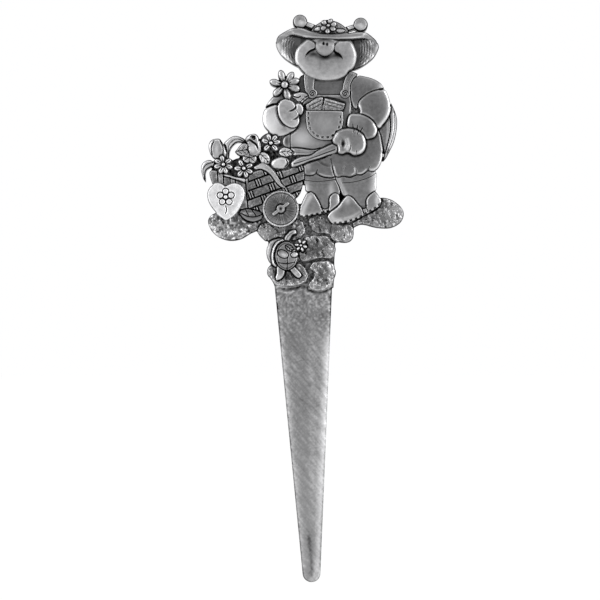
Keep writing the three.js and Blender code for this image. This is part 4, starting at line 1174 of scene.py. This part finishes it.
form(
    "drooping_leaf", 0.9, 0.4, 0.8, "pewter",
    groove([(-31, 46.8), (-33, 46.2), (-34.2, 44.6), (-33.8, 41.2)], 0.18, 0.35),
    line_tone([(-31, 47.2), (-33.2, 46.9), (-34.6, 44.8), (-34.2, 42)], 0.3, -0.3),
)
form(
    "leaf_right", 0.7, 0.5, 0.6, "pewter_bright",
    veins([(-8.6, 50.2), (-6.5, 50.5), (-4.4, 49.9)], 1, 3, 0.4),
    tone((-6.5, 50.4), (2.4, 1.2), -0.4),
)
form(
    "arched_leaf", 0.9, 0.4, 0.8, "pewter_bright",
    groove([(-20.6, 53.8), (-23.2, 54.6), (-25.4, 52.9), (-26.1, 49)], 0.18, 0.3),
    tone((-21.5, 54.6), (1.6, 1), 0.25),
)
form(
    "rosebud", 0.8, 0.5, 0.5, "pewter",
    mass(ROSE_LEAF, 4.8, 0.7, 0.5, 0.5, 0.3),
    veins([(-23.4, 50.4), (-19.4, 51)], 1.1, 3, 0.4),
    groove([(-20.8, 48.9), (-18.6, 48.4), (-16.8, 48.9)], 0.16, 0.4),
    groove([(-18.9, 49.2), (-18.9, 46.8)], 0.16, 0.4),
    groove([(-20.4, 47.4), (-19.2, 48.4)], 0.14, 0.35),
    groove([(-17.2, 47), (-18.4, 48.2)], 0.14, 0.35),
    mass(ROSEBUD, 5.8, 1.5, 0.7, 0.2, 0.4),
    fold([(-19.8, 53.4), (-18.9, 54.3), (-17.6, 53.6), (-16.4, 52.6), (-15.8, 50.8)], 0.8, 0.2, 0.45),
    fold([(-18.9, 55), (-18, 55.7), (-17, 55.3), (-17, 54.5), (-17.8, 54.2)], 0.7, 0.2, 0.3),
    pit((-17.7, 55), 0.6, 0.5),
    tone((-17.7, 55), (0.8, 0.7), 1),
    line_tone([(-19.2, 54.2), (-18.9, 55.3), (-17.8, 55.9), (-16.5, 55.5), (-16.2, 54.4)], 0.25, -0.8),
    tone((-17.8, 51.3), (1.4, 2), -1.1),
    line_tone([(-19.4, 52), (-19, 50.2), (-17.6, 49.2)], 0.4, 0.4),
    line_tone([(-16.2, 53.6), (-15.7, 52)], 0.25, -0.4),
)
form(
    "tulip_bud", 1.3, 0.3, 0.8, "pewter",
    groove([(-31.2, 49.2), (-31.5, 51.6), (-30.6, 54)], 0.2, 0.5),
    groove([(-27.6, 49.2), (-27.6, 51.6), (-28.6, 54)], 0.2, 0.5),
    tone((-29.7, 51.4), (0.9, 2.6), -0.6),
    line_tone([(-31.9, 50.2), (-31.9, 52.6)], 0.3, -0.4),
    line_tone([(-27, 50), (-27.4, 52)], 0.3, -0.4),
)
form(
    "egg_bud", 1.5, 0.25, 0.8, "pewter_bright",
    tone((-9.2, 46.9), (1.6, 1.1), -0.5),
    groove([(-6.6, 47.8), (-6.2, 46.4), (-7, 45.2)], 0.2, 0.5),
    tone((-6.2, 46.4), (0.8, 1.4), 0.3),
)
form(
    "ribbon_leaf", 0.7, 0.5, 0.5, "pewter_bright",
    veins([(-15.2, 49.6), (-13.6, 48.2), (-12.6, 46.8)], 1, 3, 0.4),
    tone((-13.9, 48.4), (1.6, 2), -0.4),
    mass(RIBBON, 4.9, 0.8, 0.7, 0.5, 0.4),
    groove([(-16.6, 45), (-14.2, 45.4), (-11.8, 43.9), (-9.8, 41.4), (-7.4, 38.8)], 0.16, 0.16),
    tone((-15.5, 45.4), (1.4, 0.7), -0.3),
    tone((-8.8, 40.4), (1.2, 1.6), 0.2),
)
cart_daisy("daisy_left", (-27.5, 46.1), (102, 35, 151, 196, 248, 290, 340))
cart_daisy("daisy_front", (-20.7, 44.8), (119, 27, 180, -26, -71, -127))
cart_daisy("daisy_back", (-11.7, 53.2), (108, 53, 9, -49, -134, 162))
form(
    "held_leaf", 0.8, 0.4, 0.7, "pewter_bright",
    veins([(1, 69.2), (-0.6, 68.2), (-2.2, 66.6)], 0.8, 3, 0.4),
    groove([(-4.6, 69), (-2.6, 68.4), (-1.8, 68.9)], 0.16, 0.5),
    tone((-3, 69.3), (1.6, 0.7), -0.5),
    tone((-1.2, 67.4), (1.4, 1), -0.5, 45),
)
form(
    "held_daisy", 1.4, 0.4, 0.5, "pewter",
    daisy((-7.1, 72.6), (166, 107, 56, 21, -17, -76, -137), 5.2, 2.5, 1.25, 5.6, 6, 0.45),
    tone((-7.1, 72.6), 2.2, 0.15),
)


# The little bug on the path
# The tone spots and lines of the bug paint highlights on its feeler, shell rim, arms, feet and flower, and
# shade on its body.
BUG_CENTRE = (-6.5, 15.7)
BUG_RADII = (3.8, 4.8)
SHELL_GROOVE = [(-8.4, 21.4), (-10.2, 20.3), (-11.4, 17.9), (-11.8, 15.5), (-11.5, 13.4), (-10.6, 11.9)]
SHELL_RIM = [(-7.9, 21), (-9.7, 19.7), (-10.8, 17.5), (-11.15, 15.4), (-10.9, 13.4), (-10.1, 12)]

form(
    "bug_feeler", 1, 0.4, 0.6, "pewter",
    tone((-3.8, 23.6), 0.7, -0.5),
    groove([(-6.4, 21.4), (-5.4, 22.8), (-4.2, 23.6)], 0.2, 0.25),
)
form(
    "bug_shell", 0.9, 0.5, 0.8, "pewter_dull",
    groove(SHELL_GROOVE, 0.18, 0.4),
    ridge(SHELL_RIM, 0.3, 0.5),
    line_tone(SHELL_RIM, 0.35, -0.8),
    tone((-12.2, 17.6), (0.9, 2.6), -0.4),
    hammered(0.7, 0.1, 81),
)
form(
    "bug_body", 0.9, 0.6, 0.6, "pewter",
    *set_bead(BUG_CENTRE, BUG_RADII, 5, 0.9, 0.18, 0.5),
    oval_crease(BUG_CENTRE, (3.2, 4.2), 0.18, 0.3),
    tone((-6.2, 18.4), (3, 2.2), 0.5),
    tone((-6.4, 13), (2.6, 2), 0.35),
    groove([(-9.2, 13.4), (-6.5, 13.1), (-3.8, 13.6)], 0.16, 0.35),
    groove([(-6.2, 15), (-6.3, 11.2)], 0.16, 0.35),
    *set_bead((-7.7, 16.3), (1.95, 1.3), 5.2, 0.9, 0.15, 0.4, -25),
    tone((-7.3, 16), (1.6, 1), -1, -25),
    tone((-8.8, 17.2), (0.7, 0.6), 0.5),
    *set_bead((-3.8, 16.1), (1.35, 1), 5.2, 0.9, 0.15, 0.4, 12),
    tone((-3.8, 16.1), (1.2, 0.9), -1),
    *set_bead((-5.6, 18.3), (1.5, 0.9), 5, 0.6, 0.14, 0.4, -35),
    tone((-5.6, 18.3), (1.4, 0.9), -0.5, -35),
    veins([(-6.8, 19.2), (-4.6, 17.5)], 0.7, 3, 0.4),
    tone((-9, 8.8), (0.9, 1), -0.5),
    tone((-3.2, 10), 0.8, -0.5),
)
form(
    "bug_flower", 1.2, 0.4, 0.5, "pewter",
    daisy((-1.7, 19.2), (107, 47, -17, -72, -131, 174), 2.2, 1.15, 0.5, 5.1, 5.3, 0.2),
    tone((-1.7, 19.2), 3, -0.3),
)


# The plate and its blade
LEDGE = [(-9, 5), (-6, 4.6), (-3, 5.1), (-0.7, 5.6), (1, 4.4), (3.7, 3.7), (6.1, 3.9), (8.8, 4.9)]
LEDGE_BELOW = [(-9, 3.9), (-6, 3.5), (-3, 4), (-0.9, 4.5), (0.6, 3.3)]
BLADE_SIDE = [(6.3, -50), (5.6, -62), (5.1, -75), (4.6, -86), (3.9, -91), (2.2, -93.2)]
FILE_MARKS = (brushed(-48, 0.6, 9, 0.03, 52), brushed(-62, 0.9, 14, 0.03, 53))
PLATE_LOOPS = outline("stake_plate")
PLATE_SIDES = [corner[0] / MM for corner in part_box("stake_plate")]


def on_blade(z):
    """0 on the plate behind the relief and 1 on the blade below it."""
    return ease((BLADE_TOP - z) / BLADE_BLEND)


def blade_top(x, z):
    """Where the hammer marks of the path run on over the top of the blade."""
    return ease((z - HAMMERED_END) / HAMMERED_FADE) * ease((BLADE_TOP + 1 - z) / BLADE_BLEND)


def path_edge(x, z):
    """Between the stones of the path."""
    return ease((z - BLADE_TOP + BLADE_BLEND) / BLADE_BLEND)


def blade_edge_highlights(sheet):
    """Painted highlights along the blade's two long edges, the right one brighter."""
    blade = ease((HIGHLIGHT_TOP - sheet.z) / HIGHLIGHT_FADE)
    middle = BLADE_MIDDLE[0] + BLADE_MIDDLE[1] * sheet.z
    right = ease((sheet.x - middle) / 2 + 0.5)
    depth = np.maximum(sheet.depth, 0)
    sheet.tone -= blade * right * RIGHT_HIGHLIGHT * bell(depth / RIGHT_HIGHLIGHT_WIDTH)
    sheet.tone -= blade * (1 - right) * LEFT_HIGHLIGHT * bell(depth / LEFT_HIGHLIGHT_WIDTH)


# The tone spots and lines here paint shade on the bare plate behind the cart's flowers, behind the handles
# and between the legs; along the blade they draw darker streaks, and by the right arm a small brighter spot.
# The mottled and scratched details are the metal's own flecks and scratches.
PLATE_DETAILS = (
    hammered(1.2, 0.12, 51, blade_top),
    groove(LEDGE, 0.3, 0.3),
    line_tone(LEDGE, 0.3, 0.3),
    line_tone(LEDGE_BELOW, 0.3, -0.4),
    mottled(0.5, 0.4, 54, blade_top),
    mottled(0.45, 0.35, 55, path_edge),
    mottled(5, 0.1, 56),
    mottled(0.4, 0.16, 59),
    scratched(-50, 0.32, 3.5, 0.2, 57),
    line_tone([(-7.4, -10), (-4.6, -14), (0.6, -20.5)], 0.3, 0.3),
    line_tone([(-2, -32), (2, -35), (5.5, -39)], 0.3, 0.25),
    tone((1, -27.5), 0.8, 0.5),
    line_tone([(1, -78), (1.7, -85), (1.9, -91)], 0.6, 0.35),
    line_tone(BLADE_SIDE, 0.35, 0.3),
    tone((1.4, -82), (3.5, 16), 0.24),
    line_tone([(11.2, 38.6), (11.9, 36), (12, 33.2)], 0.9, 1),
    tone((-14, 48.6), (10, 5), 0.4),
    tone((-25, 44.6), (6, 3.5), 0.4),
    tone((3, 48.5), (5, 2.5), 0.5),
    tone((16, 63.9), 1.7, -0.25),
    blade_edge_highlights,
)


def plate_sheet():
    """The front of the plate: bare between the masses of the relief, crowned and filed along the blade."""
    sheet = Sheet(PLATE_LOOPS, PLATE_GRID)
    blade = on_blade(sheet.z)
    for work in FILE_MARKS:
        work(sheet)
    sheet.height *= blade
    sheet.height -= blade * BLADE_CROWN * (1 - np.clip(sheet.depth / BLADE_EDGE, 0, 1)) ** 2
    sheet.height += PLATE_THICKNESS
    for work in PLATE_DETAILS:
        work(sheet)
    sheet.height = np.clip(sheet.height, PLATE_EDGE, PLATE_THICKNESS)
    return sheet


def seat_level(node):
    """The height of the flat face that a solid sits on."""
    return -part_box(node)[1][1] / MM


def sculpted(node, shape):
    """The height field of one solid of the relief."""
    sheet = Sheet(outline(node), GRID, shape.growth, PLATE_LOOPS)
    crown = -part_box(node)[0][1] / MM
    sheet.height = crown - shape.rise + shape.rise * swollen(sheet.depth, shape.edge, shape.flat)
    for work in shape.details:
        work(sheet)
    sheet.height = np.maximum(sheet.height, seat_level(node) + LOWEST_WALL)
    return sheet


# Patina and wear, with painted shade in the wider hollows
def hollow(height, width):
    """How deep each point lies in a hollow no wider than this."""
    reach = round(width / 2 / GRID)
    filled = -highest(-highest(height, reach), reach)
    return softened(filled - height, HOLLOW_SOFTENING)


def patina_and_shade_map(height, rim_depth, z):
    """Where the metal is left dark: patina in creases and round the rim of the casting, and patina with
    painted shade in wider hollows.
    """
    blade = on_blade(z)
    rim_width = RIM_WIDTH + blade * (BLADE_RIM_WIDTH - RIM_WIDTH)
    rim_darkness = RIM_DARKNESS + blade * (BLADE_RIM_DARKNESS - RIM_DARKNESS)
    creases = np.clip(CREASE_DARKNESS * hollow(height, CREASE_WIDTH), 0, 1)
    hollows = np.clip(HOLLOW_DARKNESS * (hollow(height, HOLLOW_WIDTH) - HOLLOW_START), 0, DARKEST_HOLLOW)
    rim = rim_darkness * ease(1 - rim_depth / rim_width)
    return creases + hollows + rim


def proud(height, width, share, start, most):
    """How bright each point is rubbed for standing above what lies within a width of it."""
    return np.clip(share * (height - softened(height, width / GRID)) - start, 0, most)


def wear_map(height):
    """Where rubbing has left the metal bright: on proud edges, and on whatever rises above the rest."""
    edges = proud(height, width=0.4, share=0.8, start=0.04, most=0.35)
    tops = proud(height, width=2.2, share=0.25, start=0.03, most=0.3)
    return edges + tops


class Relief:
    """The whole relief on one grid: its height, and from that the patina and painted shade, and the wear, of
    each point.
    """

    def __init__(self, sheets):
        low, high = (np.array([corner[0], corner[2]]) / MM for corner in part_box("stake_plate"))
        self.low = low - RELIEF_MARGIN
        columns, rows = np.ceil((high + RELIEF_MARGIN - self.low) / GRID).astype(int)
        self.height = np.full((rows, columns), PLATE_THICKNESS)
        for sheet in sheets:
            self.raise_to(sheet)
        x, z = np.meshgrid(self.low[0] + GRID * np.arange(columns), self.low[1] + GRID * np.arange(rows))
        self.patina_and_shade = patina_and_shade_map(self.height, depth_inside(PLATE_LOOPS, x, z), z)
        self.wear = wear_map(self.height)

    def index(self, x, z):
        rows, columns = self.height.shape
        column = np.round((x - self.low[0]) / GRID).astype(int)
        row = np.round((z - self.low[1]) / GRID).astype(int)
        return np.clip(row, 0, rows - 1), np.clip(column, 0, columns - 1)

    def raise_to(self, sheet):
        inside = sheet.depth > 0
        at = self.index(sheet.x[inside], sheet.z[inside])
        self.height[at] = np.maximum(self.height[at], sheet.height[inside])


# Meshes
def grid_squares(sheet):
    """Squares of the grid with a corner inside the outline. No two of them meet at a corner only."""
    inside = sheet.depth > 0
    square = inside[:-1, :-1] | inside[1:, :-1] | inside[:-1, 1:] | inside[1:, 1:]
    low_left, low_right = square[:-1, :-1], square[:-1, 1:]
    high_left, high_right = square[1:, :-1], square[1:, 1:]
    high_right[low_left & high_right & ~low_right & ~high_left] = False
    high_left[low_right & high_left & ~low_left & ~high_right] = False
    return square


def grid_points(sheet):
    """Grid points that belong to such a square."""
    square = np.pad(grid_squares(sheet), 1)
    return square[:-1, :-1] | square[1:, :-1] | square[:-1, 1:] | square[1:, 1:]


def front_grid(sheet, height):
    """Points and squares of a height field, with its outermost points drawn in to the outline."""
    inside = sheet.depth > 0
    used = grid_points(sheet)
    slope_z, slope_x = np.gradient(sheet.depth, sheet.step)
    pull = np.where(inside, 0, sheet.depth) / np.maximum(slope_x**2 + slope_z**2, LEAST_SLOPE)
    x, z = np.clip(sheet.x - pull * slope_x, *PLATE_SIDES), sheet.z - pull * slope_z
    points = np.stack([x[used], -height[used], z[used]], axis=1)
    number = np.full(inside.shape, -1)
    number[used] = np.arange(used.sum())
    row, column = np.nonzero(grid_squares(sheet))
    low = number[row, column], number[row, column + 1]
    high = number[row + 1, column + 1], number[row + 1, column]
    return points, np.stack([*low, *high], axis=1)


def rim_edges(squares):
    """Edges that belong to one square only, in the direction of that square."""
    starts, ends = squares.ravel(), np.roll(squares, -1, axis=1).ravel()
    scale = squares.max() + 1
    alone = ~np.isin(starts * scale + ends, ends * scale + starts)
    return starts[alone], ends[alone]


def flat_back(starts, ends, count):
    """One flat face for each loop of the rim, on the points behind it."""
    return [[point + count for point in reversed(loop)] for loop in chained(zip(starts, ends))]


def relief_mesh(name, sheet, back, relief):
    """A closed mesh: the height field, walls, and a back that is flat or a height field of its own."""
    points, squares = front_grid(sheet, sheet.height)
    behind, _ = front_grid(sheet, np.broadcast_to(back, sheet.height.shape))
    starts, ends = rim_edges(squares)
    count = len(points)
    walls = np.stack([ends, starts, starts + count, ends + count], axis=1)
    if np.ndim(back) == 0:
        rear = flat_back(starts.tolist(), ends.tolist(), count)
    else:
        rear = (squares[:, ::-1] + count).tolist()
    faces = squares.tolist() + walls.tolist() + rear
    mesh = bpy.data.meshes.new(name)
    mesh.from_pydata((np.concatenate([points, behind]) * MM).tolist(), [], faces)
    smooth = np.ones(len(faces), bool)
    smooth[len(squares) : len(squares) + len(walls)] = False
    mesh.polygons.foreach_set("use_smooth", smooth)
    paint(mesh, sheet, points, squares, relief)
    return mesh


def paint(mesh, sheet, points, squares, relief):
    """Stores the patina and wear of each corner of the front, with the sheet's spots added, which also paint
    shade and highlights. The rest is plain.
    """
    at = relief.index(points[:, 0], points[:, 2])
    spots = sheet.tone[grid_points(sheet)]
    dark = np.maximum(relief.patina_and_shade[at] + np.where(spots > 0, spots, BRIGHT_SPOT_CLEARING * spots), 0)
    bright = relief.wear[at] + np.maximum(-spots, 0)
    others = len(mesh.loops) - squares.size
    # Painted shade goes into the patina values and painted highlights into the wear values
    for label, values, plain in (("patina_and_shade", dark, PLAIN_PATINA), ("wear", bright, 0)):
        corners = np.concatenate([values[squares.ravel()], np.full(others, plain)]).astype(np.float32)
        mesh.attributes.new(label, "FLOAT", "CORNER").data.foreach_set("value", corners)


# Materials
def grey(level):
    return (level, level, level * COOL_TINT, 1.0)


class Shading:
    """The nodes of a material or of the world."""

    def __init__(self, owner):
        owner.use_nodes = True
        self.nodes = owner.node_tree.nodes
        self.links = owner.node_tree.links

    def feed(self, node, inputs):
        """Sets inputs of a node to values, or links them to outputs of other nodes."""
        for name, value in inputs.items():
            if isinstance(value, bpy.types.NodeSocket):
                self.links.new(value, node.inputs[name])
            else:
                node.inputs[name].default_value = value

    def new(self, kind, inputs, **settings):
        node = self.nodes.new("ShaderNode" + kind)
        for name, value in settings.items():
            setattr(node, name, value)
        self.feed(node, inputs)
        return node.outputs

    def attribute(self, name):
        return self.new("Attribute", {}, attribute_name=name)["Fac"]

    def mixed(self, share, first, second):
        """A colour between two."""
        return self.new("Mix", {0: share, 6: first, 7: second}, data_type="RGBA")[2]

    def ranged(self, value, low, high, to_low=0.0, to_high=1.0):
        limits = {"From Min": low, "From Max": high, "To Min": to_low, "To Max": to_high}
        return self.new("MapRange", {"Value": value, **limits})["Result"]

    def math(self, operation, *values):
        return self.new("Math", dict(enumerate(values)), operation=operation)[0]

    def place(self, kind):
        """The place of a point, or the direction of a ray."""
        return self.new("TexCoord", {})[kind]

    def noise(self, scale, fineness):
        sizes = {"Scale": scale, "Detail": fineness, "Roughness": NOISE_ROUGHNESS}
        return self.new("TexNoise", {"Vector": self.place("Object"), **sizes})["Fac"]


def pewter(name, level, worn, roughness, low_level=None):
    """Cast pewter with cloudy tarnish, brightened by wear and by painted highlights, and darkened near black
    by patina and by painted shade.
    """
    material = bpy.data.materials.new(name)
    shading = Shading(material)
    cloud = shading.ranged(shading.noise(CLOUD_SCALE, CLOUD_FINENESS), *CLOUD_RANGE)
    metal = shading.mixed(cloud, grey(level * DARK_CLOUD), grey(level * BRIGHT_CLOUD))
    if low_level is not None:
        height = shading.new("SeparateXYZ", {0: shading.place("Object")})["Z"]
        metal = shading.mixed(shading.ranged(height, BLADE_TOP * MM, LOW_BLADE * MM), metal, grey(low_level))
    # The wear attribute carries painted highlights too, and the patina attribute painted shade
    brightened = shading.mixed(shading.attribute("wear"), metal, grey(worn))
    darkening = shading.ranged(shading.attribute("patina_and_shade"), *PATINA_AND_SHADE_RANGE)
    grains = shading.noise(GRAIN_SCALE, GRAIN_FINENESS)
    bump = {"Strength": GRAIN_STRENGTH, "Distance": GRAIN_HEIGHT * MM, "Height": grains}
    shading.feed(shading.nodes["Principled BSDF"], {
        "Base Color": shading.mixed(darkening, brightened, grey(PATINA_AND_SHADE_LEVEL)),
        "Metallic": 1.0,
        "Roughness": shading.ranged(darkening, 0, 1, roughness, PATINA_AND_SHADE_ROUGHNESS),
        "Normal": shading.new("Bump", bump)["Normal"],
    })
    return material


FINISHES = {
    "pewter": (pewter("pewter", 0.24, 0.75, 0.38), "pewter"),
    "pewter_dull": (pewter("pewter_dull", 0.18, 0.7, 0.42), "pewter"),
    "pewter_bright": (pewter("pewter_bright", 0.4, 0.85, 0.38), "pewter"),
    "antiqued": (pewter("pewter_antiqued", 0.14, 0.7, 0.4), "pewter_antiqued"),
    "stone": (pewter("pewter_hammered", 0.16, 0.9, 0.33), "pewter_antiqued"),
    "polished": (pewter("pewter_polished", 0.82, 0.9, 0.45), "pewter_polished"),
    "blade": (pewter("pewter_blade", 0.24, 0.85, 0.36, 0.3), "pewter"),
}

# Pieces in the part's antiqued slot that are rubbed brighter than the rest of it
RUBBED_ANTIQUED = ("wing_case", "leaf_right", "bug_shell")


def place(node, sheet, back, finish, relief):
    """Puts the finished mesh of a CAD solid in the scene, in the place of that solid."""
    name = node + "_cast"
    mesh = relief_mesh(name, sheet, back, relief)
    material, slot = FINISHES[finish]
    if node in RUBBED_ANTIQUED:
        slot = "pewter_antiqued"
    mesh.materials.append(material)
    piece = bpy.data.objects.new(name, mesh)
    bpy.context.scene.collection.objects.link(piece)
    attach(piece, "root")
    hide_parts(node)


def build_relief():
    sheets = {node: sculpted(node, shape) for node, shape in FORMS.items()}
    plate = plate_sheet()
    relief = Relief(sheets.values())
    for node, sheet in sheets.items():
        place(node, sheet, seat_level(node), FORMS[node].finish, relief)
    back = PLATE_EDGE * (1 - shoulder(plate.depth, PLATE_EDGE)) * BACK_EDGE_SHARE
    place("stake_plate", plate, back, "blade", relief)


# Stage, light and camera. A softbox has a name, a place and a size in metres, and a power in watts.
SOFTBOX_AIM = (0, 0, 0)
SOFTBOXES = (
    ("left_softbox", (-0.75, -0.4, 0.2), (0.5, 0.9), 4.0),
    ("right_softbox", (0.75, -0.3, 0.2), (0.5, 0.9), 4.4),
    ("top_softbox", (0.0, -0.45, 0.8), (0.8, 0.4), 1.0),
)


def build_floor():
    """A pale floor that looks white to the camera and in reflections."""
    edge = FLOOR_SIZE / 2 * MM
    corners = [(x * edge, y * edge, SOIL_TIP * MM) for x, y in ((-1, -1), (1, -1), (1, 1), (-1, 1))]
    mesh = bpy.data.meshes.new("floor")
    mesh.from_pydata(corners, [], [(0, 1, 2, 3)])
    floor = bpy.data.objects.new("floor", mesh)
    bpy.context.scene.collection.objects.link(floor)
    material = bpy.data.materials.new("pale_floor")
    shading = Shading(material)
    shader = shading.nodes["Principled BSDF"]
    shading.feed(shader, {"Base Color": grey(FLOOR_LEVEL), "Roughness": FLOOR_ROUGHNESS})
    ray = shading.new("LightPath", {})
    white = shading.math("MAXIMUM", ray["Is Camera Ray"], ray["Is Glossy Ray"])
    white = shading.math("MAXIMUM", white, ray["Is Transmission Ray"])
    share = shading.math("MULTIPLY", white, FLOOR_WHITENESS)
    glow = shading.new("Emission", {"Strength": FLOOR_GLOW})[0]
    blend = shading.new("MixShader", {0: share, 1: shader.outputs[0], 2: glow})[0]
    shading.feed(shading.nodes["Material Output"], {"Surface": blend})
    mesh.materials.append(material)


def build_world():
    """A white studio with a dim front and pale walls to the left and right. The camera sees white only."""
    world = bpy.data.worlds.new("studio")
    bpy.context.scene.world = world
    shading = Shading(world)
    way = shading.new("SeparateXYZ", {0: shading.place("Generated")})
    walls = shading.ranged(shading.math("ABSOLUTE", way["X"]), *WALL_RANGE)
    front = shading.mixed(walls, grey(FRONT_LEVEL), grey(WALL_LEVEL))
    room = shading.mixed(shading.ranged(way["Y"], *BEHIND_RANGE), front, grey(1.0))
    seen = shading.new("LightPath", {})["Is Camera Ray"]
    shading.feed(shading.nodes["Background"], {"Color": shading.mixed(seen, room, grey(1.0))})


def build_lamps():
    for name, location, size, power in SOFTBOXES:
        lamp = bpy.data.lights.new(name, "AREA")
        lamp.shape = "RECTANGLE"
        lamp.size, lamp.size_y = size
        lamp.energy = power
        holder = bpy.data.objects.new(name, lamp)
        holder.location = location
        holder.rotation_euler = (Vector(SOFTBOX_AIM) - Vector(location)).to_track_quat("-Z", "Y").to_euler()
        bpy.context.scene.collection.objects.link(holder)


def build_camera():
    camera = bpy.data.cameras.new("camera")
    camera.lens = CAMERA_LENS
    camera.sensor_width = SENSOR_WIDTH
    holder = bpy.data.objects.new("camera", camera)
    away = PICTURE_WIDTH * CAMERA_LENS / SENSOR_WIDTH
    x, y, z = PICTURE_CENTRE
    holder.location = (x * MM, (y - away) * MM, z * MM)
    holder.rotation_euler = (np.pi / 2, 0, 0)
    bpy.context.scene.collection.objects.link(holder)
    bpy.context.scene.camera = holder


bpy.context.scene.view_settings.view_transform = "Standard"
build_camera()
build_floor()
build_world()
build_lamps()
build_relief()
